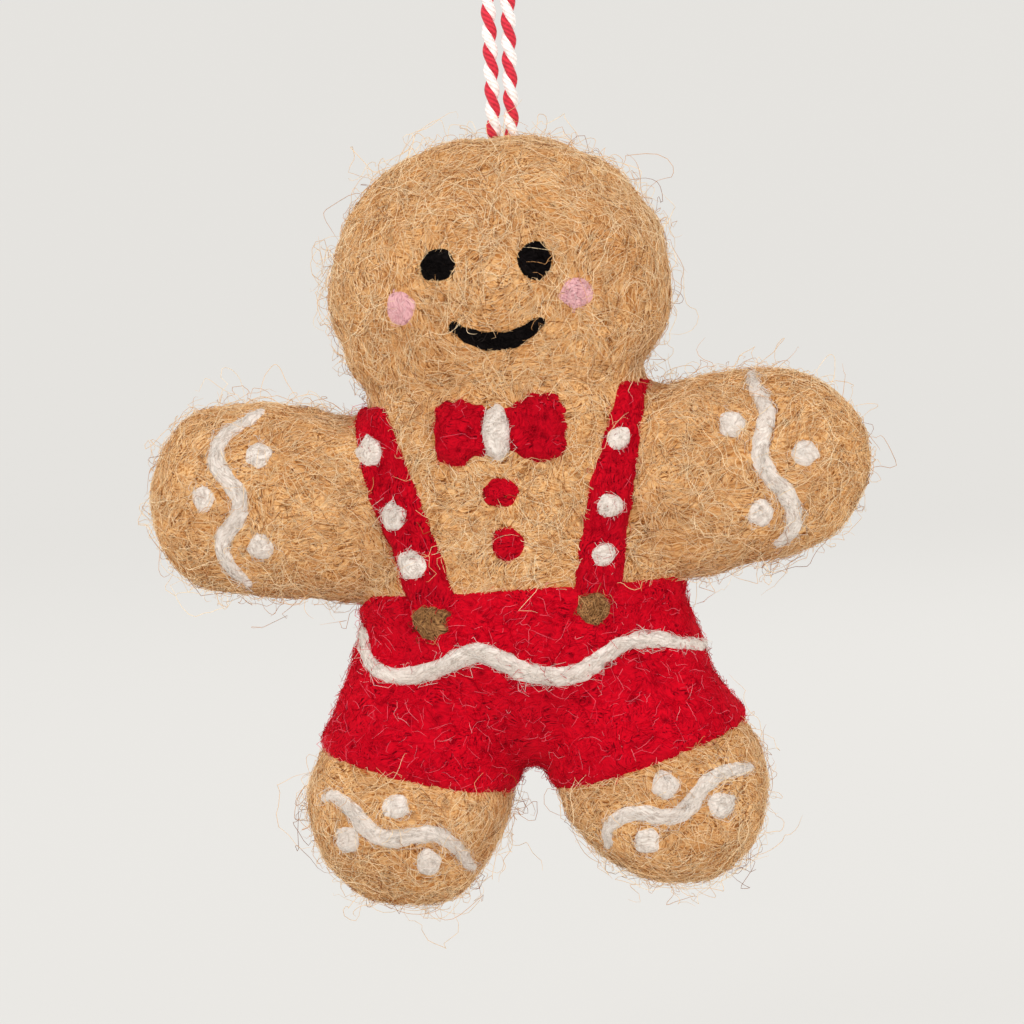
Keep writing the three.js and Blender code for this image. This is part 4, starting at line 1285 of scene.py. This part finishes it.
# %% Zones and cover
BACK_SHARE = 0.7  # the back is laid with less wool
EDGE_LEFT_BARE = 0.2  # millimetres round each layer that stay free of tan fibres
LAID_FRONT = 0.15  # a layer on the front reaches as far back as the normal points back by this
ZONES = ["torso", "head_front", "head_back", "arm_left", "arm_right", "leg_left", "leg_right"]

zone = np.zeros(len(skin_x))
zone[kept_side(PLANES["head"], skin_x, skin_up)] = 1
zone[(zone == 1) & (smooth_normals[:, 1] > 0)] = 2
for number, node in enumerate(ZONES[3:], 3):
    zone[kept_side(PLANES[node], skin_x, skin_up)] = number
under_wool = np.zeros(len(skin_x), bool)
for field, all_round in laid:
    reaches = (smooth_normals[:, 1] < LAID_FRONT) | all_round
    under_wool |= (field(skin_x, skin_up) > -EDGE_LEFT_BARE) & reaches
bare = np.where(smooth_normals[:, 1] < FRONT, 1, BACK_SHARE)
mark(skin.data, "zone", zone)
mark(skin.data, "cover", np.where(under_wool, 0, bare))
print("share of the skin that shows tan wool:", round(1 - under_wool.mean(), 2))

# %% [markdown]
# The last tan wool was never needled flat. It stands off the outline as a halo of long curly hairs, some
# in loops and some with a free end, with shorter fuzz between them. They use the same tree, with more
# curl and more lift. The shorts have a little short fuzz of their own in paler reds.

# %% Tan fibres, fuzz and strays
FUZZ_SEED, SHORTS_FUZZ_SEED = 40, 60

tan_wool = []
for number, name in enumerate(ZONES):
    here = {"Zone": float(number)}
    tan_wool.append(fibres(f"{name}_fibres", skin, "tan", Seed=number, **here))
    for habit in ("fuzz", "strays"):
        tan_wool.append(fibres(f"{name}_{habit}", skin, "tan", habit, Seed=FUZZ_SEED + number, **here))
loose_wool += tan_wool
for number, side in enumerate(("front", "back")):
    here = {"Zone": float(number), "Seed": SHORTS_FUZZ_SEED + number}
    loose_wool.append(fibres(f"shorts_{side}_fuzz", shorts, "blush", "shorts_fuzz", **here))
print({piece.name: triangles(piece) for piece in loose_wool})

# %% [markdown]
# ## Twine inside the head
# Both ends of the loop go down through the wool, and a knot holds them there. None of it shows.

# %% Tails and knot
KNOT_PLACE, KNOT_SIZE = (0, 0, -77.0), (8, 5, 6)
TAIL = ((1.3, -67.4), (1.3, -70.5), (1.5, -73.6))  # the right one, across and up

meshes = []
for side in (-1, 1):
    tail = np.array([(side * x, 0, z) for x, z in TAIL]) * MM
    meshes.append(plies("tail", smooth_line(tail, 0.4 * MM), sides=8))
ball = bmesh.new()
bmesh.ops.create_uvsphere(ball, u_segments=16, v_segments=10, radius=0.5)
for vert in ball.verts:
    vert.co = Vector(KNOT_PLACE) * MM + Vector(c * s * MM for c, s in zip(vert.co, KNOT_SIZE))
knot = joined("twine_anchor_knot", meshes + [as_mesh("ball", ball)])
for finish in COTTON:
    knot.data.materials.append(finish)
print("knot", triangles(knot))

# %% [markdown]
# ## What rides on what
# The twine hangs from its hook and the whole figure swings under it on one hinge. So every piece of wool
# rides with the figure.

# %% Riding and replacing
bpy.data.objects.remove(skin)
for node, piece in lumps.items():
    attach(piece, "figure")
    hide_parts(node)
for piece in loose_wool:
    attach(piece, "figure")
for node, (piece, family) in made.items():
    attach(piece, "figure")
    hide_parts(node)
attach(knot, "figure")
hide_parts("twine_anchor")
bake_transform(twine_loop)
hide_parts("twine_loop")
print(len(lumps) + len(loose_wool) + len(made) + 2, "pieces in all")
